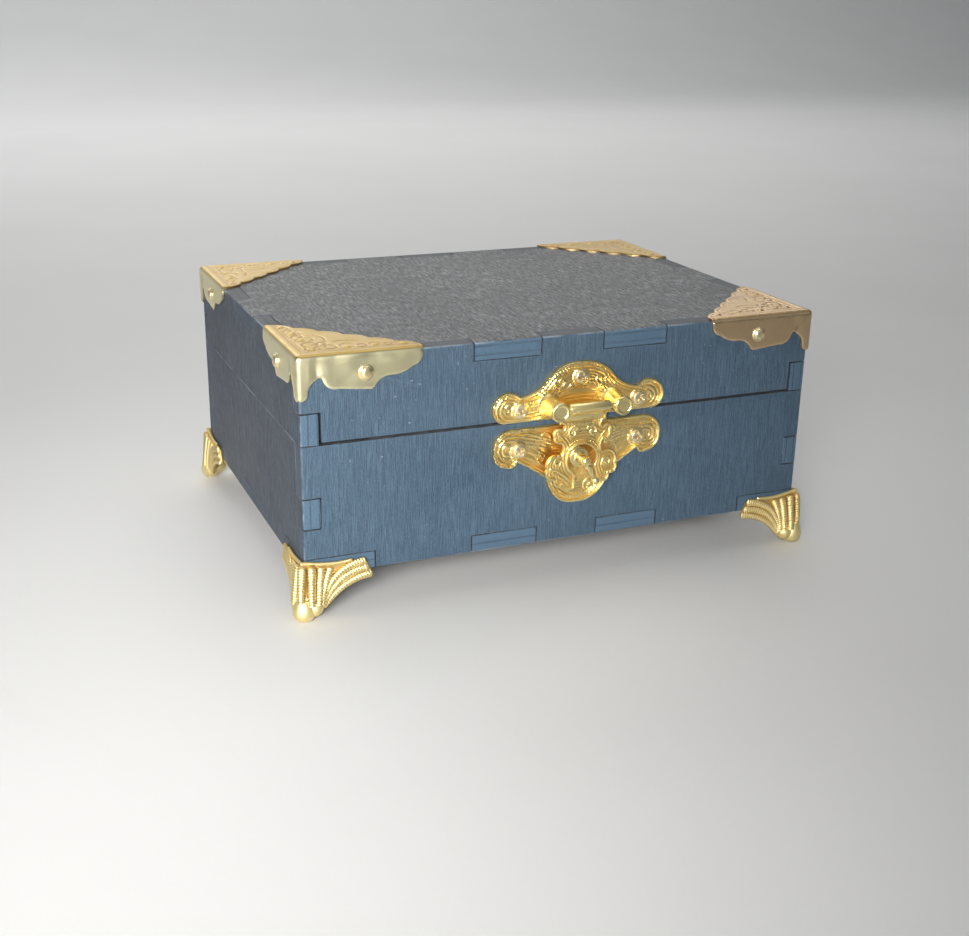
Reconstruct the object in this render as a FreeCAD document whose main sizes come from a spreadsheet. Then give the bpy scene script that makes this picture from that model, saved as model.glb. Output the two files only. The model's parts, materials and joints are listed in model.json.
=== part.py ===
import FreeCAD, Part
import os

import Sketcher
from FreeCAD import Placement, Rotation, Vector

# A plywood box with a hinged lid, finger-jointed corners, cast corner feet,
# stamped lid corners, a hasp with a swivel catch, two back hinges and a hidden
# sliding lock worked from below.  Millimetres, +Z up, front towards -Y, with the
# origin on the table under the middle of the whole object.

os.makedirs("parts", exist_ok=True)
doc = FreeCAD.newDocument("hasp_box")

SIZES = {
    # box body
    "box_width": 156, "box_depth": 119, "box_height": 61, "ply": 5,
    "foot_drop": 12, "base_height": 37, "box_shift": 2.4,
    "seam_gap": 0.3, "front_seam_gap": 0.9, "edge_gap": 0.6,
    # finger joints
    "corner_tab": 20, "wide_gap": 28.5, "front_tab": 20, "short_finger": 8.7,
    # corner brackets and their nails
    "sheet": 0.8, "bracket_reach": 34, "scallop_depth": 0.9, "scallop_tip": 1.2,
    "nail_reach": 18, "nail_drop": 5,
    "nail_head": 2.2, "nail_rise": 1.2, "nail_shank": 0.6, "nail_length": 3.8,
    # corner feet
    "wing": 1.7, "wing_reach": 18.8, "wing_rise": 4.2, "corner_rise": 0.7, "toe_pad": 2.2,
    "shelf": 1.2, "shelf_reach": 13, "foot_screw_reach": 5.5,
    # latch
    "latch_offset": 2.5, "plate": 1, "screw_spread": 18.5,
    "screw_head": 2.1, "screw_rise": 0.9, "screw_shank": 0.8, "screw_length": 4.5,
    "lug_radius": 2.75, "lug_spread": 9.7, "lug_height": 41.5, "lug_reach": 8.9,
    "pin_height": 41.8, "pin_reach": 7.2, "pin_radius": 0.85, "pin_overhang": 1.6,
    "running_gap": 0.06, "upper_screw_height": 40.7, "top_screw_height": 48.7,
    "lower_screw_height": 29.2,
    "flap_sheet": 0.8, "flap_standoff": 2.8, "barrel_radius": 1.5,
    "barrel_left": 6.8, "barrel_length": 12.6, "flap_hole": 4.3,
    # swivel catch
    "swivel_height": 25.3, "swivel_reach": 5.2, "swivel_ball": 1.7,
    "lever_length": 7.1, "lever_tilt": 29, "lever_root": 1.1, "lever_end": 0.75,
    "tip_ball": 1.1, "post_radius": 1.2, "post_reach": 3.4, "post_flange": 3.2,
    "flange_rise": 0.8, "spigot_radius": 0.6, "spigot_reach": 5.4,
    # back hinges
    "hinge_spread": 44, "leaf_width": 16, "leaf_height": 8, "leaf": 0.8,
    "hinge_reach": 1.8, "knuckle_radius": 1.7, "hinge_pin": 0.8,
    "middle_knuckle": 5.6, "knuckle_gap": 0.3, "leaf_clearance": 2,
    "hinge_screw_spread": 5.2, "hinge_screw_height": 5.4, "small_head": 1.3,
    "small_rise": 0.6, "small_shank": 0.5, "small_length": 3.5,
    # hidden lock
    "slider_depth": 4, "slider_back": 8.5, "slider_left": -35, "slider_right": 25,
    "bar_height": 8, "bar_lift": 0.4, "arm_width": 8, "nose_length": 8,
    "nose_low": 29, "nose_height": 5, "slide_gap": 0.3, "slider_travel": 8,
    "guide_width": 10, "guide_left": -30, "guide_right": 2, "guide_wall": 3.2,
    "peg_radius": 3, "peg_place": -9, "peg_recess": 0.6, "peg_depth": 4.5, "stem_radius": 1,
    "slot_gap": 0.4,
    "keeper_left": 34.5, "keeper_width": 11.5, "keeper_low": 24,
    "keeper_high": 50, "keeper_notch": 8.6, "keeper_glue": 38.5, "notch_slack": 0.7,
}

sheet = doc.addObject("Spreadsheet::Sheet", "sizes")
for row, (alias, number) in enumerate(SIZES.items(), start=1):
    sheet.set(f"A{row}", alias)
    sheet.set(f"B{row}", str(number))
    sheet.setAlias(f"B{row}", alias)
doc.recompute()

# Expressions for the box's main planes, in terms of the sheet.
LEFT = "-sizes.box_width / 2"
RIGHT = "sizes.box_width / 2"
FRONT = "sizes.box_shift - sizes.box_depth / 2"
BACK = "sizes.box_shift + sizes.box_depth / 2"
UNDER = "sizes.foot_drop"
RIM = "sizes.foot_drop + sizes.base_height"
LID = "sizes.foot_drop + sizes.base_height + sizes.seam_gap"
TOP = "sizes.foot_drop + sizes.box_height"
HINGE_LINE = "sizes.foot_drop + sizes.base_height + sizes.seam_gap / 2"
LATCH = "sizes.latch_offset"
PLY = "sizes.ply"

# Turns that take +Z to the named outward direction.
OUTWARD = {
    "-Y": Rotation(Vector(1, 0, 0), 90),
    "+Y": Rotation(Vector(1, 0, 0), -90),
    "-X": Rotation(Vector(0, 1, 0), -90),
    "+X": Rotation(Vector(0, 1, 0), 90),
    "+Z": Rotation(),
    "-Z": Rotation(Vector(1, 0, 0), 180),
}

nodes = []


def value(alias):
    """The number that a cell of the sheet holds."""
    return float(sheet.get(alias))


def plus(*terms):
    """A sum of expressions."""
    return " + ".join(f"({term})" for term in terms)


def minus(first, second):
    """A difference of two expressions."""
    return f"({first}) - ({second})"


def place(item, at, turn=None):
    """Put an object at a point given by three expressions."""
    if turn is not None:
        item.Placement = Placement(Vector(), turn)
    for axis, expression in zip("xyz", at):
        item.setExpression(f"Placement.Base.{axis}", str(expression))
    return item


def block(name, low, span):
    """A box from its lowest corner and its three lengths."""
    item = doc.addObject("Part::Box", name)
    for side, expression in zip(("Length", "Width", "Height"), span):
        item.setExpression(side, str(expression))
    return place(item, low)


def rod(name, at, outward, radius, length):
    """A cylinder that starts at a point and runs along an outward direction."""
    item = doc.addObject("Part::Cylinder", name)
    item.setExpression("Radius", str(radius))
    item.setExpression("Height", str(length))
    return place(item, at, OUTWARD[outward])


def joined(name, pieces):
    """One object out of several overlapping or touching ones."""
    item = doc.addObject("Part::MultiFuse", name)
    item.Shapes = pieces
    item.Refine = True
    return item


def carved(name, blank, tools):
    """A blank with all the tools taken out of it."""
    item = doc.addObject("Part::Cut", name)
    item.Base = blank
    if len(tools) > 1:
        item.Tool = joined(name + "_tools", tools)
    else:
        item.Tool = tools[0]
    return item


def grouped(name, pieces):
    """Several separate solids under one name."""
    item = doc.addObject("Part::Compound", name)
    item.Links = pieces
    return item


def keep(item, name):
    """Give a finished sub-part its name and list it for writing."""
    item.Label = name
    nodes.append(item)
    return item


# ---------------------------------------------------------------- fasteners

def fastener(name, at, outward, kind):
    """A domed head on a straight shank, seated on a surface at a point."""
    head = doc.addObject("Part::Sphere", name + "_head")
    radius = f"sizes.{kind}_head"
    rise = f"sizes.{kind}_rise"
    dome = f"({radius} ^ 2 + {rise} ^ 2) / (2 * {rise})"
    head.setExpression("Radius", dome)
    head.setExpression("Angle1", f"asin(1 - {rise} / ({dome}))")
    sunk = f"{dome} - {rise}"
    inward = OUTWARD[outward].multVec(Vector(0, 0, -1))
    middle = [f"({start}) + ({step}) * ({sunk})" for start, step in zip(at, inward)]
    place(head, middle, OUTWARD[outward])
    opposite = outward.translate(str.maketrans("+-", "-+"))
    shank = rod(name + "_shank", at, opposite, f"sizes.{kind}_shank", f"sizes.{kind}_length")
    return joined(name, [head, shank])


def drilled(name, at, outward, kind):
    """The hole that a fastener's shank fills, as a tool for cutting."""
    opposite = outward.translate(str.maketrans("+-", "-+"))
    return rod(name, at, opposite, f"sizes.{kind}_shank", f"sizes.{kind}_length")


def lifted(at, outward, amount):
    """A point moved outward from a surface by an expression."""
    step = OUTWARD[outward].multVec(Vector(0, 0, 1))
    return [f"({start}) + ({part:.0f}) * ({amount})" for start, part in zip(at, step)]


NAIL_HEIGHT = minus(TOP, "sizes.nail_drop")
NAIL_SEATS = {
    "front": [(f"{end} {sign} sizes.nail_reach", FRONT, NAIL_HEIGHT)
              for end, sign in ((LEFT, "+"), (RIGHT, "-"))],
    "back": [(f"{end} {sign} sizes.nail_reach", BACK, NAIL_HEIGHT)
             for end, sign in ((LEFT, "+"), (RIGHT, "-"))],
    "left": [(LEFT, f"{end} {sign} sizes.nail_reach", NAIL_HEIGHT)
             for end, sign in ((FRONT, "+"), (BACK, "-"))],
    "right": [(RIGHT, f"{end} {sign} sizes.nail_reach", NAIL_HEIGHT)
              for end, sign in ((FRONT, "+"), (BACK, "-"))],
}
FACING = {"front": "-Y", "back": "+Y", "left": "-X", "right": "+X"}

UPPER_SCREWS = [
    (f"{LATCH} - sizes.screw_spread", FRONT, plus(UNDER, "sizes.upper_screw_height")),
    (f"{LATCH} + sizes.screw_spread", FRONT, plus(UNDER, "sizes.upper_screw_height")),
    (LATCH, FRONT, plus(UNDER, "sizes.top_screw_height")),
]
LOWER_SCREWS = [
    (f"{LATCH} - sizes.screw_spread", FRONT, plus(UNDER, "sizes.lower_screw_height")),
    (f"{LATCH} + sizes.screw_spread", FRONT, plus(UNDER, "sizes.lower_screw_height")),
]


def hinge_screw_seats(sign):
    """Seats on the back face, above (+) or below (-) the hinge line."""
    seats = []
    for side in ("-", "+"):
        for step in ("-", "+"):
            along = f"{side}sizes.hinge_spread {step} sizes.hinge_screw_spread"
            seats.append((along, BACK, f"{HINGE_LINE} {sign} sizes.hinge_screw_height"))
    return seats


FOOT_SCREWS = [
    (f"{x_end} {x_sign} sizes.foot_screw_reach",
     f"{y_end} {y_sign} sizes.foot_screw_reach", UNDER)
    for x_end, x_sign in ((LEFT, "+"), (RIGHT, "-"))
    for y_end, y_sign in ((FRONT, "+"), (BACK, "-"))
]


def holes_for(name, seats, outward, kind, sheet_alias):
    """Cutting tools for a row of fasteners seated on a sheet over a surface."""
    return [
        drilled(f"{name}_hole_{index}", lifted(seat, outward, f"sizes.{sheet_alias}"),
                outward, kind)
        for index, seat in enumerate(seats)
    ]


def fasteners(name, seats, outward, kind, sheet_alias):
    """A row of fasteners whose heads sit on a sheet over a surface."""
    return [
        fastener(f"{name}_{index}", lifted(seat, outward, f"sizes.{sheet_alias}"),
                 outward, kind)
        for index, seat in enumerate(seats)
    ]


# ------------------------------------------------------------ wooden panels

# Where the top and bottom panels reach a face: starts and lengths along an edge.
TABS_ALONG_X = [
    (LEFT, "sizes.corner_tab"),
    (f"{LEFT} + sizes.corner_tab + sizes.wide_gap", "sizes.front_tab"),
    (f"{RIGHT} - sizes.corner_tab - sizes.wide_gap - sizes.front_tab", "sizes.front_tab"),
    (f"{RIGHT} - sizes.corner_tab", "sizes.corner_tab"),
]
TABS_ALONG_Y = [
    (FRONT, "sizes.corner_tab"),
    (f"{FRONT} + sizes.corner_tab + sizes.wide_gap",
     "sizes.box_depth - 2 * (sizes.corner_tab + sizes.wide_gap)"),
    (f"{BACK} - sizes.corner_tab", "sizes.corner_tab"),
]


def gaps_between(tabs):
    """The stretches between neighbouring tabs."""
    return [
        (plus(start, length), minus(following, plus(start, length)))
        for (start, length), (following, _) in zip(tabs, tabs[1:])
    ]


def flat_panel(name, low, holes):
    """The top or the bottom panel, notched on its four edges for the walls' fingers."""
    blank = block(name + "_blank", (LEFT, FRONT, low), ("sizes.box_width", "sizes.box_depth", PLY))
    tools = list(holes)
    for index, (start, length) in enumerate(gaps_between(TABS_ALONG_X)):
        for side, edge in (("front", FRONT), ("back", minus(BACK, PLY))):
            tools.append(block(f"{name}_{side}_notch_{index}", (start, edge, low),
                               (length, PLY, PLY)))
    for index, (start, length) in enumerate(gaps_between(TABS_ALONG_Y)):
        for side, edge in (("left", LEFT), ("right", minus(RIGHT, PLY))):
            tools.append(block(f"{name}_{side}_notch_{index}", (edge, start, low),
                               (PLY, length, PLY)))
    keep(carved(name, blank, tools), name)


def long_wall(name, edge, low, height, tab_low, side_fingers, holes):
    """A front or back wall: notched for the flat panel's tabs and the side walls' fingers."""
    blank = block(name + "_blank", (LEFT, edge, low), ("sizes.box_width", PLY, height))
    tools = list(holes)
    for index, (start, length) in enumerate(TABS_ALONG_X):
        tools.append(block(f"{name}_tab_notch_{index}", (start, edge, tab_low),
                           (length, PLY, PLY)))
    for index, (finger_low, finger_height, clearance) in enumerate(side_fingers):
        width = plus(PLY, clearance)
        tools.append(block(f"{name}_left_notch_{index}", (LEFT, edge, finger_low),
                           (width, PLY, finger_height)))
        tools.append(block(f"{name}_right_notch_{index}", (minus(RIGHT, width), edge, finger_low),
                           (width, PLY, finger_height)))
    keep(carved(name, blank, tools), name)


def side_wall(name, edge, low, height, tab_low, long_fingers, holes):
    """A left or right wall: notched for the flat panel's tabs and the long walls' fingers."""
    blank = block(name + "_blank", (edge, FRONT, low), (PLY, "sizes.box_depth", height))
    tools = list(holes)
    for index, (start, length) in enumerate(TABS_ALONG_Y):
        tools.append(block(f"{name}_tab_notch_{index}", (edge, start, tab_low),
                           (PLY, length, PLY)))
    for index, (finger_low, finger_height) in enumerate(long_fingers):
        for side, start in (("front", FRONT), ("back", minus(BACK, PLY))):
            tools.append(block(f"{name}_{side}_notch_{index}", (edge, start, finger_low),
                               (PLY, PLY, finger_height)))
    keep(carved(name, blank, tools), name)


FINGER = "sizes.short_finger"
BASE_SIDE_FINGER = plus(UNDER, PLY, FINGER)
BASE_UPPER_FINGER = plus(BASE_SIDE_FINGER, FINGER)
BASE_LONG_FINGERS = [
    (plus(UNDER, PLY), FINGER),
    (BASE_UPPER_FINGER, minus(RIM, BASE_UPPER_FINGER)),
]
LID_HEIGHT = minus(TOP, LID)
LID_LONG_FINGER = plus(LID, FINGER)
LID_UNDERSIDE = minus(TOP, PLY)
LID_LONG_FINGERS = [(LID_LONG_FINGER, minus(LID_UNDERSIDE, LID_LONG_FINGER))]
FRONT_LIP = plus(RIM, "sizes.front_seam_gap")


def peg_slot():
    """The slot in the bottom panel that the lock's peg slides in."""
    radius = "(sizes.peg_radius + sizes.slot_gap)"
    middle = plus(FRONT, "sizes.slider_back", "sizes.slider_depth / 2")
    ends = ["sizes.peg_place", "sizes.peg_place + sizes.slider_travel"]
    rounds = [rod(f"slot_end_{index}", (end, middle, UNDER), "+Z", radius, PLY)
              for index, end in enumerate(ends)]
    straight = block("slot_middle", (ends[0], minus(middle, radius), UNDER),
                     ("sizes.slider_travel", f"2 * {radius}", PLY))
    return rounds + [straight]


def screw_holes(name, sign):
    return holes_for(name, hinge_screw_seats(sign), "+Y", "small", "leaf")


def nail_holes(side):
    return holes_for(f"nail_{side}", NAIL_SEATS[side], FACING[side], "nail", "sheet")


flat_panel("bottom_panel", UNDER,
           peg_slot() + holes_for("foot", FOOT_SCREWS, "-Z", "small", "shelf"))
flat_panel("lid_top_panel", LID_UNDERSIDE,
           [hole for side in NAIL_SEATS for hole in nail_holes(side)])

base_side_fingers = [(BASE_SIDE_FINGER, FINGER, "0")]
lid_side_fingers = [(LID, FINGER, "0")]
front_side_fingers = [(LID, FINGER, "sizes.edge_gap")]
long_wall("base_front_panel", FRONT, UNDER, "sizes.base_height", UNDER, base_side_fingers,
          holes_for("lower_latch", LOWER_SCREWS, "-Y", "screw", "plate"))
long_wall("base_back_panel", minus(BACK, PLY), UNDER, "sizes.base_height", UNDER,
          base_side_fingers, screw_holes("base_hinge", "-"))
front_seam = block("front_seam_tool", (LEFT, FRONT, LID),
                   ("sizes.box_width", PLY, minus(FRONT_LIP, LID)))
long_wall("lid_front_panel", FRONT, LID, LID_HEIGHT, LID_UNDERSIDE, front_side_fingers,
          [front_seam] + nail_holes("front")
          + holes_for("upper_latch", UPPER_SCREWS, "-Y", "screw", "plate"))
long_wall("lid_back_panel", minus(BACK, PLY), LID, LID_HEIGHT, LID_UNDERSIDE, lid_side_fingers,
          nail_holes("back") + screw_holes("lid_hinge", "+"))
for side, edge in (("left", LEFT), ("right", minus(RIGHT, PLY))):
    side_wall(f"base_{side}_panel", edge, UNDER, "sizes.base_height", UNDER, BASE_LONG_FINGERS, [])
    side_wall(f"lid_{side}_panel", edge, LID, LID_HEIGHT, LID_UNDERSIDE, LID_LONG_FINGERS,
              nail_holes(side))


# ------------------------------------------------------- sketched sheet parts

def new_body(name, at, turn=None):
    body = doc.addObject("PartDesign::Body", name)
    return place(body, at, turn)


def new_sketch(body, name, role, offset=0.0):
    """A sketch on one of the body's own origin planes."""
    plane = next(item for item in body.Origin.OriginFeatures if item.Role == role)
    sketch = body.newObject("Sketcher::SketchObject", name)
    sketch.AttachmentSupport = [(plane, "")]
    sketch.MapMode = "FlatFace"
    sketch.AttachmentOffset = Placement(Vector(0, 0, offset), Rotation())
    return sketch


def draw(sketch, start, steps):
    """Lines (x, y) and arcs (through x, y, to x, y) from a start, closed at the end."""
    here = Vector(*start, 0)
    first = here
    for step in steps:
        there = Vector(*step[-2:], 0)
        if len(step) == 2:
            sketch.addGeometry(Part.LineSegment(here, there), False)
        else:
            sketch.addGeometry(Part.Arc(here, Vector(*step[:2], 0), there), False)
        here = there
    if here.distanceToPoint(first) > 1e-6:
        sketch.addGeometry(Part.LineSegment(here, first), False)


def both_halves(start, steps):
    """The steps of a right half outline, from top to bottom, and its mirror back up."""
    points = [start] + [step[-2:] for step in steps]
    back = []
    for step, end in zip(reversed(steps), reversed(points[:-1])):
        through = [] if len(step) == 2 else [-step[0], step[1]]
        back.append(tuple(through) + (-end[0], end[1]))
    return steps + back


def round_hole(sketch, across, up, radius):
    """A circle whose centre and radius follow the sheet."""
    circle = sketch.addGeometry(Part.Circle(Vector(1, 1, 0), Vector(0, 0, 1), 1), False)
    rules = (
        (Sketcher.Constraint("Radius", circle, 1), radius),
        (Sketcher.Constraint("DistanceX", -1, 1, circle, 3, 1), across),
        (Sketcher.Constraint("DistanceY", -1, 1, circle, 3, 1), up),
    )
    for rule, expression in rules:
        index = sketch.addConstraint(rule)
        sketch.setExpression(f"Constraints[{index}]", str(expression))


def pad(body, sketch, name, length, backwards=False):
    item = body.newObject("PartDesign::Pad", name)
    item.Profile = sketch
    item.Reversed = backwards
    item.setExpression("Length", length)
    sketch.Visibility = False
    return item


# Lid corners: a bent sheet with a scalloped top leg and two shaped side legs.
LEG_START = (33.2, 0.0)
LEG_STEPS = [
    (33.4, -2.6, 31.0, -4.4),
    (28.0, -6.0, 24.8, -6.4),
    (22.0, -7.2, 20.3, -9.2),
    (19.4, -9.7),
    (10.6, -8.8),
    (7.8, -8.2, 6.4, -6.3),
    (5.4, -5.4, 4.4, -6.0),
    (3.0, -7.2, 2.3, -9.6),
    (1.2, -11.2, -0.8, -10.9),
]
SCALLOPS = 6


def bracket(name, corner, turn):
    """One lid corner, in its own frame: legs along +X and +Y, top at the lid's top."""
    body = new_body(name + "_body", (*corner, TOP), Rotation(Vector(0, 0, 1), turn))
    thick = value("sheet")
    reach = value("bracket_reach")
    bulge = value("scallop_depth")
    tip = value("scallop_tip")
    top = new_sketch(body, name + "_top", "XY_Plane")
    step = (reach - tip) / SCALLOPS
    edge = [(reach, tip - thick / 2)]
    for index in range(SCALLOPS):
        x_from = reach - index * step
        y_from = tip + index * step
        edge.append((x_from - step / 2 + bulge, y_from + step / 2 + bulge,
                     x_from - step, y_from + step))
    draw(top, (-thick, -thick), [(reach, -thick), *edge, (-thick, reach)])
    pad(body, top, name + "_top_leg", "sizes.sheet")
    for role, label, backwards in (("XZ_Plane", "front", False), ("YZ_Plane", "side", True)):
        leg = new_sketch(body, f"{name}_{label}", role)
        draw(leg, (-thick, thick), [(LEG_START[0], thick), LEG_START, *LEG_STEPS])
        round_hole(leg, "sizes.nail_reach", "-sizes.nail_drop", "sizes.nail_shank")
        pad(body, leg, f"{name}_{label}_leg", "sizes.sheet", backwards)
    keep(body, name)


# Corner feet: two wings on the walls, a shelf under the floor and a round toe.
TOE_STEPS = [(4.0, 2.6, 3.5, 5.6), (2.2, 7.6, 0, 8.4)]
WING_DIP = (8.0, 0.7)
WING_LIP = (1.7, 0.5, 0.3, 1.4)
WING_UNDERSIDE = [(11.6, 7.6, 6.6, 3.6), (4.6, 2.6), (-2.0, 2.6)]
WING_END_LOW = 9.0


def foot(name, corner, turn):
    """One foot, in its own frame: wings along +X and +Y, toe on the corner line."""
    body = new_body(name + "_body", (*corner, 0), Rotation(Vector(0, 0, 1), turn))
    toe = new_sketch(body, name + "_toe", "XZ_Plane")
    pad_radius = value("toe_pad")
    draw(toe, (0, 0), [(pad_radius, 0), *TOE_STEPS])
    turned = body.newObject("PartDesign::Revolution", name + "_toe_turned")
    turned.Profile = toe
    turned.ReferenceAxis = (toe, ["V_Axis"])
    turned.Angle = 360
    toe.Visibility = False
    top = value("foot_drop") + value("wing_rise")
    end = value("wing_reach")
    dip_at, dip = WING_DIP
    shoulder, near, slight, deep = WING_LIP
    edge = [
        (dip_at, top - dip, end - shoulder, top),
        (end - near, top - slight, end, top - deep),
        (end, WING_END_LOW),
    ]
    for role, label, backwards in (("XZ_Plane", "front", False), ("YZ_Plane", "side", True)):
        wing = new_sketch(body, f"{name}_{label}", role)
        draw(wing, (-value("wing"), top + value("corner_rise")), edge + WING_UNDERSIDE)
        pad(body, wing, f"{name}_{label}_wing", "sizes.wing", backwards)
    shelf = new_sketch(body, name + "_shelf", "XY_Plane", value("foot_drop") - value("shelf"))
    reach = value("shelf_reach")
    draw(shelf, (0, 0), [(reach, 0), (0, reach)])
    round_hole(shelf, "sizes.foot_screw_reach", "sizes.foot_screw_reach", "sizes.small_shank")
    pad(body, shelf, name + "_shelf_plate", "sizes.shelf")
    keep(body, name)


CORNERS = {
    "front_left": ((LEFT, FRONT), 0),
    "front_right": ((RIGHT, FRONT), 90),
    "back_right": ((RIGHT, BACK), 180),
    "back_left": ((LEFT, BACK), 270),
}
for where, (corner, turn) in CORNERS.items():
    bracket(f"bracket_{where}", corner, turn)
    foot(f"foot_{where}", corner, turn)

all_nails = []
for side, seats in NAIL_SEATS.items():
    all_nails += fasteners(f"nail_{side}", seats, FACING[side], "nail", "sheet")
keep(grouped("nails", all_nails), "bracket_nails")
keep(grouped("shelf_screws", fasteners("foot_screw", FOOT_SCREWS, "-Z", "small", "shelf")),
     "foot_screws")


# ------------------------------------------------------------------- latch

UPPER_START = (0, 53.2)
UPPER_STEPS = [
    (5.3, 52.5, 9.4, 50.0),
    (10.2, 49.0),
    (13.6, 46.0, 18.2, 44.6),
    (22.6, 46.1, 26.3, 43.2),
    (26.4, 39.4, 22.4, 37.3),
    (0, 37.3),
]
LOWER_START = (0, 35.6)
LOWER_STEPS = [
    (20.2, 35.4),
    (24.9, 33.6, 26.3, 29.3),
    (25.2, 25.7, 22.0, 24.2),
    (19.9, 24.2, 18.8, 25.6),
    (14.0, 22.6, 9.7, 19.6),
    (7.4, 14.2, 0, 11.4),
]
FLAP_START = (0, 38.6)
FLAP_STEPS = [
    (7.2, 38.6),
    (7.2, 36.2),
    (5.9, 35.7, 6.2, 34.6),
    (8.7, 34.8, 8.9, 32.6),
    (8.3, 30.8, 6.7, 30.4),
    (6.0, 28.8, 6.6, 27.2),
    (10.2, 26.6, 11.0, 23.2),
    (10.9, 20.6, 8.9, 19.8),
    (8.2, 17.9, 5.9, 18.0),
    (3.6, 16.1, 1.3, 17.1),
    (0, 16.6),
]
# The sloping web: its foot on the flap and where its two faces meet the barrel,
# outward and down from the pin.
WEB_FOOT = 37.4
WEB_HEAD = (1.4, 0.1)
WEB_CHIN = (0.5, 1.2)
# The flap's mouth: open down and to the right, where the catch hangs in it.
MOUTH_START = (-1.8, 24.0)
MOUTH_STEPS = [(-1.8, 15.0), (5.0, 15.0), (5.0, 19.4), (3.6, 23.2)]

upper = new_body("upper_plate_body", (LATCH, FRONT, UNDER))
upper_outline = new_sketch(upper, "upper_plate_outline", "XZ_Plane")
draw(upper_outline, UPPER_START, both_halves(UPPER_START, UPPER_STEPS))
for across, up in (("-sizes.screw_spread", "sizes.upper_screw_height"),
                   ("sizes.screw_spread", "sizes.upper_screw_height"),
                   ("0", "sizes.top_screw_height")):
    round_hole(upper_outline, across, up, "sizes.screw_shank")
pad(upper, upper_outline, "upper_plate_pad", "sizes.plate")
lugs = new_sketch(upper, "lug_circles", "XZ_Plane")
for across in ("-sizes.lug_spread", "sizes.lug_spread"):
    round_hole(lugs, across, "sizes.lug_height", "sizes.lug_radius")
pad(upper, lugs, "lug_posts", "sizes.lug_reach")
pin_line = (f"{LATCH} - sizes.lug_spread - sizes.pin_overhang", f"{FRONT} - sizes.pin_reach",
            plus(UNDER, "sizes.pin_height"))
pin_length = "2 * (sizes.lug_spread + sizes.pin_overhang)"
pin_bore = rod("lug_bore", pin_line, "+X", "sizes.pin_radius", pin_length)
keep(carved("upper_plate", upper, [pin_bore]), "latch_upper_plate")
keep(rod("hasp_pin", pin_line, "+X", "sizes.pin_radius", pin_length), "hasp_pin")
keep(grouped("upper_screws", fasteners("upper_screw", UPPER_SCREWS, "-Y", "screw", "plate")),
     "latch_upper_screws")

lower = new_body("lower_plate_body", (LATCH, FRONT, UNDER))
lower_outline = new_sketch(lower, "lower_plate_outline", "XZ_Plane")
draw(lower_outline, LOWER_START, both_halves(LOWER_START, LOWER_STEPS))
for across in ("-sizes.screw_spread", "sizes.screw_spread"):
    round_hole(lower_outline, across, "sizes.lower_screw_height", "sizes.screw_shank")
pad(lower, lower_outline, "lower_plate_pad", "sizes.plate")
keep(lower, "latch_lower_plate")
keep(grouped("lower_screws", fasteners("lower_screw", LOWER_SCREWS, "-Y", "screw", "plate")),
     "latch_lower_screws")

# The flap: a pierced sheet, a sloping web and a rolled barrel round the pin.
flap_body = new_body("flap_body", (LATCH, f"{FRONT} - sizes.flap_standoff", UNDER))
flap_outline = new_sketch(flap_body, "flap_outline", "XZ_Plane")
draw(flap_outline, FLAP_START, both_halves(FLAP_START, FLAP_STEPS))
round_hole(flap_outline, "0", "sizes.swivel_height", "sizes.flap_hole")
pad(flap_body, flap_outline, "flap_plate", "sizes.flap_sheet")
out = value("pin_reach") - value("flap_standoff")
thick = value("flap_sheet")
web = new_sketch(flap_body, "flap_web", "YZ_Plane", -value("barrel_left") + 0.5)
draw(web, (0, WEB_FOOT), [
    (0, FLAP_START[1]),
    (WEB_HEAD[0] - out, value("pin_height") - WEB_HEAD[1]),
    (WEB_CHIN[0] - out, value("pin_height") - WEB_CHIN[1]),
    (-thick, FLAP_START[1] - 0.5 * thick),
    (-thick, WEB_FOOT),
])
pad(flap_body, web, "flap_web_pad", "sizes.barrel_length - 1")
barrel = new_sketch(flap_body, "flap_barrel", "YZ_Plane", -value("barrel_left"))
round_hole(barrel, "sizes.flap_standoff - sizes.pin_reach", "sizes.pin_height", "sizes.barrel_radius")
pad(flap_body, barrel, "flap_barrel_pad", "sizes.barrel_length")
mouth_body = new_body("mouth_body", (LATCH, f"{FRONT} - sizes.flap_standoff + 1", UNDER))
mouth = new_sketch(mouth_body, "mouth_outline", "XZ_Plane")
draw(mouth, MOUTH_START, MOUTH_STEPS)
pad(mouth_body, mouth, "mouth_pad", "sizes.flap_sheet + 2")
flap_bore = rod("flap_bore", pin_line, "+X", "sizes.pin_radius + sizes.running_gap", pin_length)
keep(carved("flap", flap_body, [mouth_body, flap_bore]), "hasp_flap")

# The catch: a riveted post on the lower plate and a ball-ended lever that turns on it.
SWIVEL = (LATCH, FRONT, plus(UNDER, "sizes.swivel_height"))


def out_from_front(amount):
    return (SWIVEL[0], minus(FRONT, amount), SWIVEL[2])


flange = rod("post_flange_disc", out_from_front("sizes.plate"), "-Y", "sizes.post_flange",
             "sizes.flange_rise")
shoulder = rod("post_shoulder", out_from_front("sizes.plate"), "-Y", "sizes.post_radius",
               "sizes.post_reach - sizes.plate")
spigot = rod("post_spigot", out_from_front("sizes.plate"), "-Y", "sizes.spigot_radius",
             "sizes.spigot_reach - sizes.plate")
keep(joined("post", [flange, shoulder, spigot]), "swivel_post")

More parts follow.
